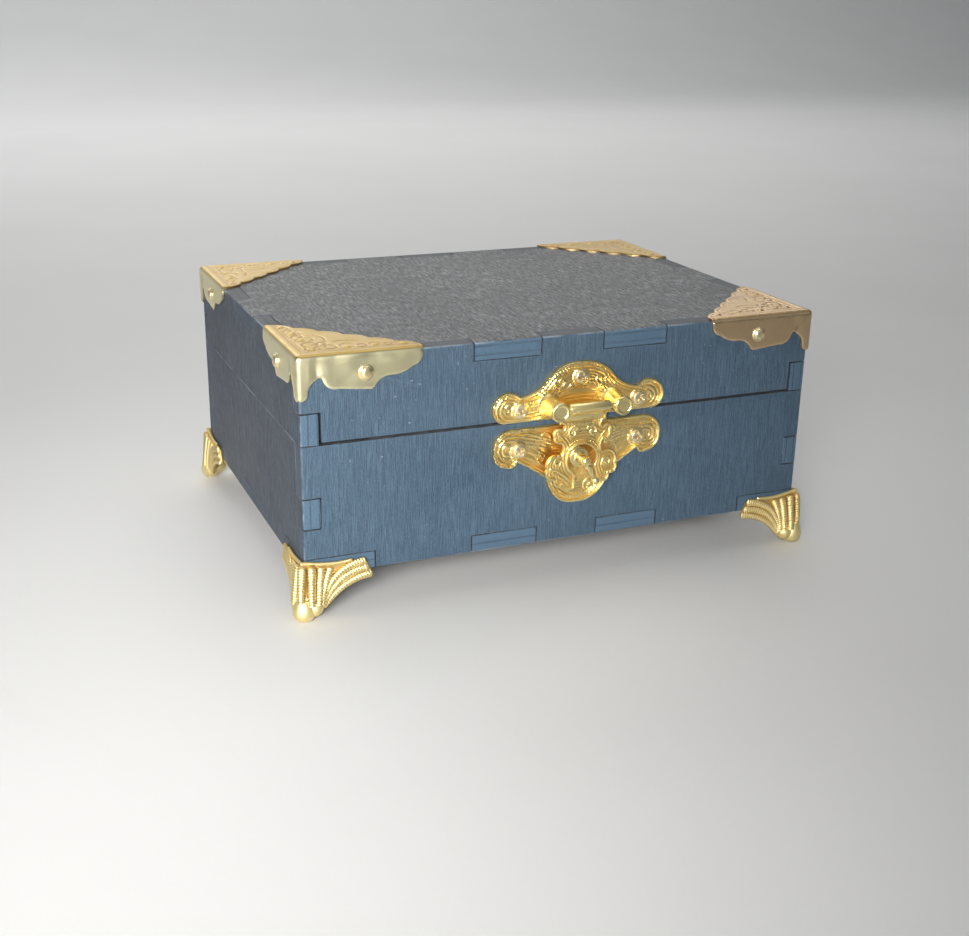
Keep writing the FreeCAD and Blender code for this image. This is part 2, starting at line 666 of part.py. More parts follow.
hub = doc.addObject("Part::Sphere", "lever_hub")
hub.setExpression("Radius", "sizes.swivel_ball")
place(hub, out_from_front("sizes.swivel_reach"))
arm = doc.addObject("Part::Cone", "lever_arm")
arm.setExpression("Radius1", "sizes.lever_root")
arm.setExpression("Radius2", "sizes.lever_end")
arm.setExpression("Height", "sizes.lever_length")
place(arm, out_from_front("sizes.swivel_reach"), Rotation(Vector(0, 1, 0), 180 - value("lever_tilt")))
end = doc.addObject("Part::Sphere", "lever_tip")
end.setExpression("Radius", "sizes.tip_ball")
place(end, (f"{LATCH} + sizes.lever_length * sin(sizes.lever_tilt * 1 deg)",
            f"{FRONT} - sizes.swivel_reach",
            f"{SWIVEL[2]} - sizes.lever_length * cos(sizes.lever_tilt * 1 deg)"))
lever_blank = joined("lever_blank", [hub, arm, end])
lever_bore = rod("lever_bore", out_from_front("sizes.post_reach"), "-Y",
                 "sizes.spigot_radius + sizes.running_gap",
                 "sizes.spigot_reach - sizes.post_reach + sizes.seam_gap")
keep(carved("lever", lever_blank, [lever_bore]), "swivel_lever")


# ------------------------------------------------------------- back hinges

def hinge_axis(start):
    return (start, f"{BACK} + sizes.hinge_reach", HINGE_LINE)


def hinge_leaf(name, centre, sign, knuckles, bore_radius, screws):
    """A leaf on the back face, above (+) or below (-) the line, with its knuckles."""
    near = f"{HINGE_LINE} {sign} sizes.leaf_clearance"
    far = f"{HINGE_LINE} {sign} sizes.leaf_height"
    low, high = (near, far) if sign == "+" else (far, near)
    pieces = [block(name + "_plate", (f"{centre} - sizes.leaf_width / 2", BACK, low),
                    ("sizes.leaf_width", "sizes.leaf", minus(high, low)))]
    neck_low, neck_high = (HINGE_LINE, near) if sign == "+" else (near, HINGE_LINE)
    for index, (start, length) in enumerate(knuckles):
        pieces.append(rod(f"{name}_knuckle_{index}", hinge_axis(start), "+X",
                          "sizes.knuckle_radius", length))
        pieces.append(block(f"{name}_neck_{index}", (start, BACK, neck_low),
                            (length, "sizes.leaf", minus(neck_high, neck_low))))
    bore = rod(name + "_bore", hinge_axis(f"{centre} - sizes.leaf_width / 2"), "+X",
               bore_radius, "sizes.leaf_width")
    leaf = carved(name + "_leaf", joined(name + "_blank", pieces), [bore] + screws)
    keep(leaf, name)


for side, sign in (("left", "-"), ("right", "+")):
    centre = f"{sign}sizes.hinge_spread"
    middle = f"{centre} - sizes.middle_knuckle / 2"
    outer = "(sizes.leaf_width - sizes.middle_knuckle) / 2 - sizes.knuckle_gap"
    outer_knuckles = [(f"{centre} - sizes.leaf_width / 2", outer),
                      (f"{centre} + sizes.middle_knuckle / 2 + sizes.knuckle_gap", outer)]
    here = slice(0, 2) if side == "left" else slice(2, 4)
    hinge_leaf(f"hinge_{side}_base_leaf", centre, "-", outer_knuckles, "sizes.hinge_pin",
               holes_for(f"{side}_base_leaf", hinge_screw_seats("-")[here], "+Y", "small", "leaf"))
    hinge_leaf(f"hinge_{side}_lid_leaf", centre, "+", [(middle, "sizes.middle_knuckle")],
               "sizes.hinge_pin + sizes.running_gap",
               holes_for(f"{side}_lid_leaf", hinge_screw_seats("+")[here], "+Y", "small", "leaf"))
    keep(rod(f"{side}_hinge_pin", hinge_axis(f"{centre} - sizes.leaf_width / 2"), "+X",
             "sizes.hinge_pin", "sizes.leaf_width"), f"hinge_{side}_pin")
for part, sign in (("base", "-"), ("lid", "+")):
    keep(grouped(f"{part}_hinge_screws",
                 fasteners(f"{part}_hinge_screw", hinge_screw_seats(sign), "+Y", "small", "leaf")),
         f"hinge_{part}_screws")


# ------------------------------------------------------------- hidden lock

SLIDER_FRONT = plus(FRONT, "sizes.slider_back")
BAR_LOW = plus(UNDER, PLY, "sizes.bar_lift")
NOSE_LOW = plus(UNDER, "sizes.nose_low")
bar = block("slider_bar", ("sizes.slider_left", SLIDER_FRONT, BAR_LOW),
            ("sizes.slider_right - sizes.slider_left", "sizes.slider_depth", "sizes.bar_height"))
riser = block("slider_riser", ("sizes.slider_right - sizes.arm_width", SLIDER_FRONT, BAR_LOW),
              ("sizes.arm_width", "sizes.slider_depth",
               minus(plus(NOSE_LOW, "sizes.nose_height"), BAR_LOW)))
nose = block("slider_nose", ("sizes.slider_right - sizes.arm_width", SLIDER_FRONT, NOSE_LOW),
             ("sizes.arm_width + sizes.nose_length", "sizes.slider_depth", "sizes.nose_height"))
peg_line = plus(SLIDER_FRONT, "sizes.slider_depth / 2")
peg_socket = rod("peg_socket", ("sizes.peg_place", peg_line, BAR_LOW), "+Z",
                 "sizes.stem_radius", "sizes.peg_depth")
keep(carved("slider", joined("slider_blank", [bar, riser, nose]), [peg_socket]), "lock_slider")
button = rod("peg_button", ("sizes.peg_place", peg_line, plus(UNDER, "sizes.peg_recess")), "+Z",
             "sizes.peg_radius", minus(BAR_LOW, plus(UNDER, "sizes.peg_recess")))
stem = rod("peg_stem", ("sizes.peg_place", peg_line, BAR_LOW), "+Z", "sizes.stem_radius",
           "sizes.peg_depth")
keep(joined("peg", [button, stem]), "slider_peg")

bar_top = plus(BAR_LOW, "sizes.bar_height", "sizes.slide_gap")
cheek_end = minus("sizes.slider_back", "sizes.slide_gap")
for side in ("left", "right"):
    start = f"sizes.guide_{side}"
    blank = block(f"guide_{side}_blank", (start, plus(FRONT, PLY), plus(UNDER, PLY)),
                  ("sizes.guide_width",
                   "sizes.slider_back + sizes.slider_depth + sizes.slide_gap + sizes.guide_wall - sizes.ply",
                   minus(plus(bar_top, "sizes.guide_wall"), plus(UNDER, PLY))))
    channel = block(f"guide_{side}_channel", (start, plus(FRONT, cheek_end), plus(UNDER, PLY)),
                    ("sizes.guide_width", "sizes.slider_depth + 2 * sizes.slide_gap",
                     minus(bar_top, plus(UNDER, PLY))))
    keep(carved(f"guide_{side}", blank, [channel]), f"lock_guide_{side}")

keeper_start = "sizes.keeper_left"
keeper_height = "sizes.keeper_high - sizes.keeper_low"
keeper_tongue = block("keeper_tongue",
                      (keeper_start, SLIDER_FRONT, plus(UNDER, "sizes.keeper_low")),
                      ("sizes.keeper_width", "sizes.slider_depth", keeper_height))
keeper_pad = block("keeper_pad",
                   (keeper_start, plus(FRONT, PLY), plus(UNDER, "sizes.keeper_glue")),
                   ("sizes.keeper_width", "sizes.slider_back - sizes.ply",
                    "sizes.keeper_high - sizes.keeper_glue"))
keeper_notch = block("keeper_notch_tool",
                     (keeper_start, SLIDER_FRONT, minus(NOSE_LOW, "sizes.notch_slack")),
                     ("sizes.keeper_notch", "sizes.slider_depth",
                      "sizes.nose_height + 2 * sizes.notch_slack"))
keep(carved("keeper", joined("keeper_blank", [keeper_tongue, keeper_pad]), [keeper_notch]),
     "lid_keeper")

doc.recompute()

faults = [item.Name for item in doc.Objects
          if {"Invalid", "Error"} & set(item.State)]
for item in nodes:
    if item.Shape.isNull() or not item.Shape.isValid() or not item.Shape.Solids:
        faults.append(item.Label)
if faults:
    raise RuntimeError("failed objects: " + ", ".join(faults))

for item in nodes:
    item.Shape.exportStep(f"parts/{item.Label}.step")
print(len(nodes), "parts written")
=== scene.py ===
import json
import math

import bmesh
import bpy
import numpy as np
from mathutils import Matrix, Vector, geometry


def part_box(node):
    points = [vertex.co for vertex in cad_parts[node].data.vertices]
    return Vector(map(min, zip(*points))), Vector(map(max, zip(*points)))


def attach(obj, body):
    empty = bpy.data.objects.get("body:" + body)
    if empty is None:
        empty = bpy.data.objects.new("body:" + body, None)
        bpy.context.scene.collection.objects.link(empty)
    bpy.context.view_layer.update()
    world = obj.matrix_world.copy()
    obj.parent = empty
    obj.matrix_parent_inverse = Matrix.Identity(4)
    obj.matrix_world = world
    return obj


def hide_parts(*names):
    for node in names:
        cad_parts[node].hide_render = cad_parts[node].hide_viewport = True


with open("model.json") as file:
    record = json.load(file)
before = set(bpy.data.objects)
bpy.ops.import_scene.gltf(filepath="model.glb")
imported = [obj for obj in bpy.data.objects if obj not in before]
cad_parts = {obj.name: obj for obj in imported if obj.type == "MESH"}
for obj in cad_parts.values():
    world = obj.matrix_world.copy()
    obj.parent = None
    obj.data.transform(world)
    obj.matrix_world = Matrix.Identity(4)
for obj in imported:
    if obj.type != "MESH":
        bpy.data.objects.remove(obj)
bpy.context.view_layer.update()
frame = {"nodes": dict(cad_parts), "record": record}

MM = 0.001
X, Y, Z = 0, 1, 2

# Main planes of the box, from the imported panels.
WALL_LOW, WALL_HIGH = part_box("base_front_panel")
LEFT, RIGHT, FRONT = WALL_LOW.x, WALL_HIGH.x, WALL_LOW.y
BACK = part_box("base_back_panel")[1].y
UNDER = WALL_LOW.z
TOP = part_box("lid_top_panel")[1].z
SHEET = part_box("bracket_front_left")[1].z - TOP
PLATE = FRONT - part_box("latch_lower_plate")[0].y
LATCH_X = sum(corner.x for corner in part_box("latch_lower_plate")) / 2

# Paint colours by facing: blue on the front and back, a painted-shade copy on the sides, and a painted grey
# sheen on the top and underneath; all are one paint.
FRONT_BLUE = (0.037, 0.075, 0.118)
SIDE_SHADE_BLUE = (0.029, 0.039, 0.056)
TOP_SHEEN_GREY = (0.074, 0.076, 0.079)
PALE_BLUE = (0.27, 0.36, 0.45)

PANELS = {
    "lid_top_panel": Z, "bottom_panel": Z,
    "lid_front_panel": Y, "lid_back_panel": Y, "base_front_panel": Y, "base_back_panel": Y,
    "lid_left_panel": X, "lid_right_panel": X, "base_left_panel": X, "base_right_panel": X,
}


# ---------------------------------------------------------------- materials

class Graph:
    """A short way to add shader nodes to a material or a world, and to link them."""

    def __init__(self, owner, shader="Principled BSDF"):
        owner.use_nodes = True
        self.owner = owner
        self.nodes, self.links = owner.node_tree.nodes, owner.node_tree.links
        self.shader = self.nodes[shader]

    def paint(self, **sources):
        """Feed the shader's own sockets; a low line stands for a space in a socket's name."""
        for name, source in sources.items():
            self.feed(self.shader.inputs[name.replace("_", " ")], source)

    def add(self, kind, inputs=None, **settings):
        """A new node with its settings, and its inputs fed by name or number."""
        node = self.nodes.new(kind)
        for key, setting in settings.items():
            setattr(node, key, setting)
        for key, source in (inputs or {}).items():
            self.feed(node.inputs[key], source)
        return node

    def feed(self, socket, source):
        """Link a socket, or set its number, vector or (with three numbers) its colour."""
        if isinstance(source, bpy.types.NodeSocket):
            self.links.new(source, socket)
        else:
            socket.default_value = (*source, 1.0) if socket.type == "RGBA" else source

    def math(self, operation, first, second=0.0):
        return self.add("ShaderNodeMath", {0: first, 1: second}, operation=operation).outputs[0]

    def plus(self, first, second):
        return self.math("ADD", first, second)

    def times(self, first, second):
        return self.math("MULTIPLY", first, second)

    def mix(self, share, first, second, blend="MIX"):
        node = self.add("ShaderNodeMix", {0: share, 6: first, 7: second}, data_type="RGBA", blend_type=blend)
        return node.outputs[2]

    def remap(self, source, low, high, to_low=0.0, to_high=1.0):
        node = self.add("ShaderNodeMapRange", {0: source, 1: low, 2: high, 3: to_low, 4: to_high})
        return node.outputs[0]

    def noise(self, where, scale, detail=3.0, rough=0.55, distortion=0.0):
        node = self.add("ShaderNodeTexNoise", {
            "Vector": where, "Scale": scale, "Detail": detail, "Roughness": rough,
            "Distortion": distortion})
        return node.outputs["Fac"]

    def stretched(self, where, scale):
        node = self.add("ShaderNodeMapping", {"Vector": where, "Scale": scale})
        return node.outputs[0]

    def bump(self, height, strength, distance, under=None):
        inputs = {"Strength": strength, "Distance": distance, "Height": height}
        if under is not None:
            inputs["Normal"] = under
        return self.add("ShaderNodeBump", inputs).outputs[0]


def painted_wood(name, thickness_axis, grain_axis, seed):
    """Thin satin paint over open plywood grain, with the plies just showing on the cut edges."""
    g = Graph(bpy.data.materials.new(name))
    spot = g.add("ShaderNodeTexCoord")
    place = g.add("ShaderNodeMapping", {
        "Vector": spot.outputs["Object"], "Location": (seed * 0.37, seed * 0.71, seed * 0.13)})
    where = place.outputs[0]

    def along(share):
        stretch = [1.0, 1.0, 1.0]
        stretch[grain_axis] = share
        return g.stretched(where, tuple(stretch))

    fine = g.noise(along(0.22), 5200, 3, 0.75)
    pores = g.noise(along(0.07), 3300, 2, 0.6)
    long_grain = g.noise(along(0.04), 620, 3, 0.6, 0.3)
    cloud = g.noise(where, 24, 3, 0.6)
    blotch = g.noise(where, 110, 3, 0.6)
    scuff = g.noise(where, 760, 2, 0.5)
    scratch = g.noise(g.add("ShaderNodeMapping", {
        "Vector": where, "Rotation": (0.5, 0.6, 0.7), "Scale": (1.0, 0.09, 0.09)}).outputs[0], 700, 2, 0.5)
    grain = g.plus(g.times(fine, 0.5), g.times(pores, 0.5))
    ridge = g.remap(grain, 0.40, 0.60)
    split = g.add("ShaderNodeSeparateXYZ", {0: spot.outputs["Normal"]})
    cut = g.remap(g.math("ABSOLUTE", split.outputs[thickness_axis]), 0.8, 0.55)
    place_split = g.add("ShaderNodeSeparateXYZ", {0: spot.outputs["Object"]})
    layer = g.math("SINE", g.times(place_split.outputs[thickness_axis], 2 * math.pi / 0.0025))
    ply_line = g.remap(layer, -0.72, -0.95)
    sideways = g.remap(g.math("ABSOLUTE", split.outputs[X]), 0.6, 0.8)
    upward = g.remap(g.math("ABSOLUTE", split.outputs[Z]), 0.6, 0.8)
    # Painted light: side faces take the shaded copy of the blue, up- and down-facing faces the grey sheen
    # copy.
    paint = g.mix(upward, g.mix(sideways, FRONT_BLUE, SIDE_SHADE_BLUE), TOP_SHEEN_GREY)

    def tinted(under, share):
        return g.mix(1.0, under, (share, share, share), "MULTIPLY")

    base = g.mix(ridge, tinted(paint, 0.58), g.mix(0.12, paint, PALE_BLUE))
    fleck = g.noise(along(0.20), 1150, 5, 0.9)
    # Painted highlight: pale specks along the grain on up- and down-facing faces stand in for sheen catching
    # the grain.
    glint_specks = g.times(g.remap(fleck, 0.49, 0.60), g.remap(blotch, 0.35, 0.6, 0.35, 0.95))
    base = g.mix(g.times(glint_specks, upward), base, (0.33, 0.33, 0.325))
    # Painted shade: the grain hollows on up- and down-facing faces are darkened.
    hollow_shade = g.times(g.remap(fleck, 0.49, 0.41, 0.0, 0.9), upward)
    base = g.mix(hollow_shade, base, (0.018, 0.019, 0.021))
    streaky = g.mix(g.remap(long_grain, 0.40, 0.65, 0.0, 0.30), base, tinted(paint, 0.72))
    cloudy = g.mix(g.remap(cloud, 0.35, 0.75, 0.0, 0.35), streaky, tinted(paint, 0.85))
    dust = (0.40, 0.43, 0.45)
    specked = g.mix(g.remap(scuff, 0.72, 0.77, 0.0, 0.35), cloudy, dust)
    scratched = g.mix(g.remap(scratch, 0.74, 0.82, 0.0, 0.30), specked, dust)
    end_paint = g.mix(g.remap(fine, 0.35, 0.65), paint, g.mix(0.12, paint, PALE_BLUE))
    end_colour = g.mix(g.times(ply_line, g.remap(blotch, 0.35, 0.6, 0.1, 0.5)),
                       end_paint, tinted(paint, 0.4))
    ends = g.mix(cut, scratched, end_colour)
    wear = g.add("ShaderNodeAttribute", attribute_name="wear").outputs["Fac"]
    worn = g.times(wear, g.remap(blotch, 0.40, 0.66, 0.0, 0.6))
    g.paint(Base_Color=g.mix(worn, ends, (0.27, 0.32, 0.37)))
    rough = g.plus(g.remap(ridge, 0.0, 1.0, 0.56, 0.40), g.times(cut, 0.12))
    g.paint(Roughness=g.plus(rough, g.remap(cloud, 0.2, 0.8, -0.05, 0.07)), Specular_IOR_Level=0.45)
    lines = g.times(g.times(ply_line, cut), -0.4)
    height = g.plus(g.times(grain, g.remap(cut, 0, 1, 1, 0.5)), lines)
    height = g.plus(height, g.times(g.times(fleck, upward), 1.0))
    fine_bump = g.bump(height, 0.95, 0.00030)
    g.paint(Normal=g.bump(cloud, 0.10, 0.0012, g.bump(blotch, 0.16, 0.0005, fine_bump)))
    return g.owner


def bare_wood(name, grain_axis):
    """Plain birch for the hidden lock."""
    g = Graph(bpy.data.materials.new(name))
    where = g.add("ShaderNodeTexCoord").outputs["Object"]
    stretch = [1.0, 1.0, 1.0]
    stretch[grain_axis] = 0.06
    along = g.stretched(where, tuple(stretch))
    grain = g.noise(along, 900, 4, 0.65, 0.4)
    broad = g.noise(along, 160, 2, 0.5, 0.8)
    pale = g.mix(g.remap(grain, 0.35, 0.65), (0.62, 0.44, 0.26), (0.74, 0.57, 0.37))
    g.paint(Base_Color=g.mix(g.remap(broad, 0.45, 0.6, 0.0, 0.5), pale, (0.50, 0.33, 0.18)),
            Roughness=g.remap(grain, 0.3, 0.7, 0.5, 0.68), Normal=g.bump(grain, 0.4, 0.0002))
    return g.owner


def gilt(name, bright, deep, rough, brushed=0.0, upper=None):
    """Plated brass: bright on the high spots and a deeper gold in the hollows as painted shade, with smudges
    and fine scratches; an upper colour paints a reflected tone onto up-facing faces.
    """
    g = Graph(bpy.data.materials.new(name))
    where = g.add("ShaderNodeTexCoord").outputs["Object"]
    relief = g.add("ShaderNodeAttribute", attribute_name="relief").outputs["Fac"]
    smudge = g.noise(where, 130, 3, 0.6)
    grit = g.noise(where, 5200, 2, 0.5)
    scratch = g.noise(g.stretched(where, (1.0, 1.0, 0.05)), 3800, 2, 0.6)
    patch = g.noise(where, 55, 2, 0.5, 0.6)
    # Painted shade: the relief level runs from the deep colour in hollows to the bright one on high spots.
    base = g.mix(relief, deep, bright)
    # Painted reflection: up-facing faces take the upper colour, a different reflected tone of the same
    # brass.
    if upper is not None:
        split = g.add("ShaderNodeSeparateXYZ", {0: g.add("ShaderNodeTexCoord").outputs["Normal"]})
        base = g.mix(g.remap(split.outputs[Z], 0.45, 0.75), base, g.mix(relief, deep, upper))
    tarnish = g.remap(patch, 0.55, 0.75, 0.0, 0.3)
    g.paint(Base_Color=g.mix(tarnish, base, (0.78, 0.72, 0.62), "MULTIPLY"), Metallic=1.0)
    smooth = g.remap(smudge, 0.35, 0.7, rough - 0.06, rough + 0.12)
    hollow = g.remap(relief, 0.0, 0.6, 0.10, 0.0)
    g.paint(Roughness=g.plus(smooth, hollow))
    fine = g.bump(grit, 0.10, 0.00006)
    if brushed:
        fine = g.bump(scratch, brushed, 0.00005, fine)
    g.paint(Normal=g.bump(smudge, 0.06, 0.0006, fine))
    return g.owner


def make_materials():
    made = {
        "bright_gilt": gilt("bright_gilt", (0.95, 0.80, 0.38), (0.86, 0.53, 0.12), 0.29),
        # A darker, browner copy of the bracket brass: painted shade for the front-right bracket.
        "shaded_bronze_gilt": gilt("shaded_bronze_gilt", (0.76, 0.56, 0.33), (0.36, 0.22, 0.10), 0.27, 0.12,
                            (0.58, 0.41, 0.21)),
        # The upper colour of both bracket brasses is a painted reflection on the top legs.
        "pale_gilt": gilt("pale_gilt", (0.92, 0.86, 0.55), (0.30, 0.19, 0.08), 0.34, 0.10,
                          (0.47, 0.335, 0.105)),
        "cast_gilt": gilt("cast_gilt", (0.84, 0.71, 0.37), (0.50, 0.34, 0.11), 0.50),
        "hinge_brass": gilt("hinge_brass", (0.88, 0.68, 0.32), (0.64, 0.42, 0.15), 0.32, 0.15),
        "nail_heads": gilt("nail_heads", (0.93, 0.80, 0.48), (0.78, 0.56, 0.22), 0.28),
        "screw_heads": gilt("screw_heads", (0.94, 0.85, 0.58), (0.56, 0.40, 0.20), 0.33),
    }
    for axis, letter in ((X, "x"), (Z, "z")):
        made[f"bare_wood_{letter}"] = bare_wood(f"bare_wood_{letter}", axis)
    return made


MATERIALS = make_materials()


def dress(item, material):
    """Give a piece or a CAD node one material."""
    item.data.materials.clear()
    item.data.materials.append(material)
    return item


# ------------------------------------------------------------- mesh helpers

def cad_mesh(node):
    """A bmesh of a CAD node's triangles, welded."""
    bm = bmesh.new()
    bm.from_mesh(frame["nodes"][node].data)
    bmesh.ops.remove_doubles(bm, verts=bm.verts, dist=1e-6)
    return bm


def join_faces(bm):
    """Join coplanar triangles into whole faces."""
    bmesh.ops.dissolve_limit(bm, angle_limit=math.radians(1), verts=bm.verts, edges=bm.edges)
    bm.normal_update()


def sharp_edges(bm):
    return [edge for edge in bm.edges
            if len(edge.link_faces) == 2 and edge.calc_face_angle() > math.radians(60)]


def ease(bm, edges, width, segments, profile):
    bmesh.ops.bevel(bm, geom=edges, offset=width, segments=segments, profile=profile,
                    affect="EDGES", clamp_overlap=True)


def stand_in(bm, name, node, material, sharp, matrix=None):
    """A smooth-shaded piece made from a bmesh, which rides on a CAD node's body and replaces the node."""
    mesh = bpy.data.meshes.new(name)
    bm.to_mesh(mesh)
    bm.free()
    mesh.shade_smooth()
    mesh.set_sharp_from_angle(angle=math.radians(sharp))
    item = bpy.data.objects.new(name, mesh)
    bpy.context.scene.collection.objects.link(item)
    if matrix is not None:
        item.matrix_world = matrix
    dress(item, material)
    members = frame["record"]["behaviour"]["bodies"]
    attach(item, next(body for body, names in members.items() if node in names))
    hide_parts(node)


# ------------------------------------------------------------------ panels

GAP = 0.20 * MM
EDGE = 0.20 * MM
ARRIS = 0.70 * MM


def open_notches(bm, low, high, thickness_axis):
    """Draw the notch walls back a little, so that a fine dark line shows round each finger."""
    shifts = {}
    for face in bm.faces:
        axis = max(range(3), key=lambda index: abs(face.normal[index]))
        if axis == thickness_axis or abs(face.normal[axis]) < 0.99:
            continue
        level = face.calc_center_median()[axis]
        if min(abs(level - low[axis]), abs(level - high[axis])) < 1e-5:
            continue
        push = math.copysign(1.0, face.normal[axis])
        for vert in face.verts:
            shifts.setdefault(vert, {})[axis] = -push * GAP
    for vert, moves in shifts.items():
        for axis, amount in moves.items():
            vert.co[axis] += amount


def on_arris(middle):
    """Whether a point lies on one of the long outer edges of the box."""
    planes = [min(abs(middle.x - LEFT), abs(middle.x - RIGHT)),
              min(abs(middle.y - FRONT), abs(middle.y - BACK)),
              min(abs(middle.z - UNDER), abs(middle.z - TOP))]
    return sorted(planes)[1] < 1e-5


def panel(node, thickness_axis, seed):
    """A plywood panel with its fingers: softened edges, fine gaps and worn arrises."""
    bm = cad_mesh(node)
    join_faces(bm)
    open_notches(bm, *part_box(node), thickness_axis)
    edges = sharp_edges(bm)
    outer = [edge for edge in edges if on_arris((edge.verts[0].co + edge.verts[1].co) / 2)]
    inner = [edge for edge in edges if edge not in outer]
    ease(bm, outer, ARRIS, 4, 0.5)
    ease(bm, [edge for edge in inner if edge.is_valid], EDGE, 2, 0.6)
    bm.normal_update()
    wear = bm.faces.layers.float.new("wear")
    for face in bm.faces:
        face[wear] = 1.0 if max(abs(part) for part in face.normal) < 0.97 else 0.0
    grain = Y if thickness_axis == Z else Z
    stand_in(bm, node + "_board", node,
             painted_wood(node + "_paint", thickness_axis, grain, seed), 28)


for seed, (node, axis) in enumerate(PANELS.items()):
    panel(node, axis, seed)


# ----------------------------------------------------- outlines and reliefs

def box_mm(node):
    return [np.array(corner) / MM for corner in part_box(node)]


def loops(node, axis, sign, level=None):
    """Edge loops (mm) of a CAD node's flat faces that look one way along an axis, longest first."""
    mesh = frame["nodes"][node].data
    across = [index for index in range(3) if index != axis]
    flat = [face for face in mesh.polygons if sign * face.normal[axis] > 0.999]
    if level is None:
        level = sign * max(sign * face.center[axis] for face in flat) / MM
    edges = {}
    for face in flat:
        if abs(face.center[axis] / MM - level) > 0.02:
            continue
        ring = [tuple(round(mesh.vertices[index].co[part] / MM, 3) for part in across)
                for index in face.vertices]
        for first, second in zip(ring, ring[1:] + ring[:1]):
            if edges.pop((second, first), None) is None:
                edges[(first, second)] = True
    onward = dict(edges.keys())
    found = []
    while onward:
        first, here = onward.popitem()
        loop = [first]
        while here != first:
            loop.append(here)
            here = onward.pop(here, first)
        found.append(np.array(loop))
    return sorted(found, key=lambda loop: -np.linalg.norm(loop - np.roll(loop, 1, 0), axis=1).sum())


def outline(node, axis, sign, level=None):
    return loops(node, axis, sign, level)[0]


def evened(loop, step):
    """A closed loop with no long edges and no crowded points."""
    points = []
    for here, there in zip(loop, np.roll(loop, -1, 0)):
        length = np.linalg.norm(there - here)
        count = max(1, math.ceil(length / step - 0.01))
        points += [here + (there - here) * index / count for index in range(count)]
    kept = [points[0]]
    for before, here, after in zip(points, points[1:], points[2:] + points[:1]):
        first, second = here - kept[-1], after - here
        turn = abs(first[0] * second[1] - first[1] * second[0])
        straight = turn < 0.35 * np.linalg.norm(first) * np.linalg.norm(second) + 1e-9
        if np.linalg.norm(first) > 0.4 * step or not straight:
            kept.append(here)
    return np.array(kept)


def nearest(points, line, ends=None):
    """How far each point is from a polyline (or from edges, given their two ends), and how far along."""
    start = line[:-1] if ends is None else line
    run = (line[1:] if ends is None else ends) - start
    length = np.maximum(np.linalg.norm(run, axis=1), 1e-9)
    gap = points[:, None] - start[None]
    along = np.clip((gap * run).sum(2) / length ** 2, 0, 1)
    away = np.linalg.norm(gap - along[..., None] * run, axis=2)
    best = away.argmin(1)
    rows = np.arange(len(points))
    travelled = np.concatenate([[0], np.cumsum(length)[:-1]])
    return away[rows, best], travelled[best] + along[rows, best] * length[best]


def closed(loop):
    return np.vstack([loop, loop[:1]])


def inside(points, loop):
    """Which points lie inside a closed loop."""
    across, up = points[:, :1], points[:, 1:]
    here, there = loop, np.roll(loop, -1, 0)
    rise = np.where(here[:, 1] == there[:, 1], 1, there[:, 1] - here[:, 1])
    crossing = (here[:, 1] > up) != (there[:, 1] > up)
    meets = here[:, 0] + (up - here[:, 1]) * (there[:, 0] - here[:, 0]) / rise
    return (crossing & (across < meets)).sum(1) % 2 == 1


def fill(loop, step):
    """A loop filled with an even field of points: the loop first, then the field, and triangles."""
    low, high = loop.min(0), loop.max(0)
    rows = np.arange(low[1], high[1], step * 0.87)
    columns = np.arange(low[0] - step, high[0], step)
    field = np.array([(column + step / 2 * (index % 2), row)
                      for index, row in enumerate(rows) for column in columns])
    field = field[inside(field, loop)]
    field = field[nearest(field, closed(loop))[0] > 0.55 * step]
    points = np.vstack([loop, field])
    count = len(loop)
    rim = [(index, (index + 1) % count) for index in range(count)]
    found = geometry.delaunay_2d_cdt([Vector(point) for point in points], rim,
                                     [list(range(count))], 1, 1e-6)
    source = [origins[0] for origins in found[3]]
    triangles = [[source[index] for index in face] for face in found[2]]
    return points, triangles


class Shell:
    """Vertices, faces and relief levels gathered for one piece (mm)."""

    def __init__(self):
        self.verts, self.faces, self.levels = [], [], []

    def add(self, verts, faces, levels=None):
        start = len(self.verts)
        self.verts += [tuple(vert) for vert in verts]
        self.faces += [[start + index for index in face] for face in faces]
        self.levels += list(np.ones(len(verts)) if levels is None else levels)
        return self

    def leaf(self, loop, step, lift, height, shade, bend=lambda middle: False):
        """A worked sheet over a loop: raised front, plain back, and a rim where it isn't bent on."""
        points, triangles = fill(loop, step)
        rise = height(points)
        count = len(loop)
        back = lift(loop, np.zeros(count))
        flat = geometry.tessellate_polygon([[Vector((*point, 0)) for point in loop]])
        verts = np.vstack([lift(points, rise), back])
        total = len(points)
        faces = list(triangles) + [[total + index for index in face] for face in flat]
        for index in range(count):
            after = (index + 1) % count
            if not bend((loop[index] + loop[after]) / 2):
                faces.append([index, after, total + after, total + index])
        # The rim and back get a low level: painted shade along the sheet's edges.
        return self.add(verts, faces, np.concatenate([shade(points, rise), np.full(count, 0.3)]))

    def stand_in(self, name, node, slot, sharp=40, material=None, matrix=None):
        """Weld everything, face it outward and put it in place of a CAD node."""
        bm = bmesh.new()
        level = bm.verts.layers.float.new("relief")
        made = [bm.verts.new(Vector(vert) * MM) for vert in self.verts]
        for vert, shade in zip(made, self.levels):
            vert[level] = min(1.0, max(0.0, shade))
        for face in self.faces:
            if len(set(face)) > 2:
                bm.faces.new([made[index] for index in face])
        bmesh.ops.remove_doubles(bm, verts=bm.verts, dist=2e-6)
        bmesh.ops.dissolve_degenerate(bm, edges=bm.edges, dist=1e-7)
        bmesh.ops.recalc_face_normals(bm, faces=bm.faces)
        stand_in(bm, name, node, material or MATERIALS[slot], sharp, matrix)


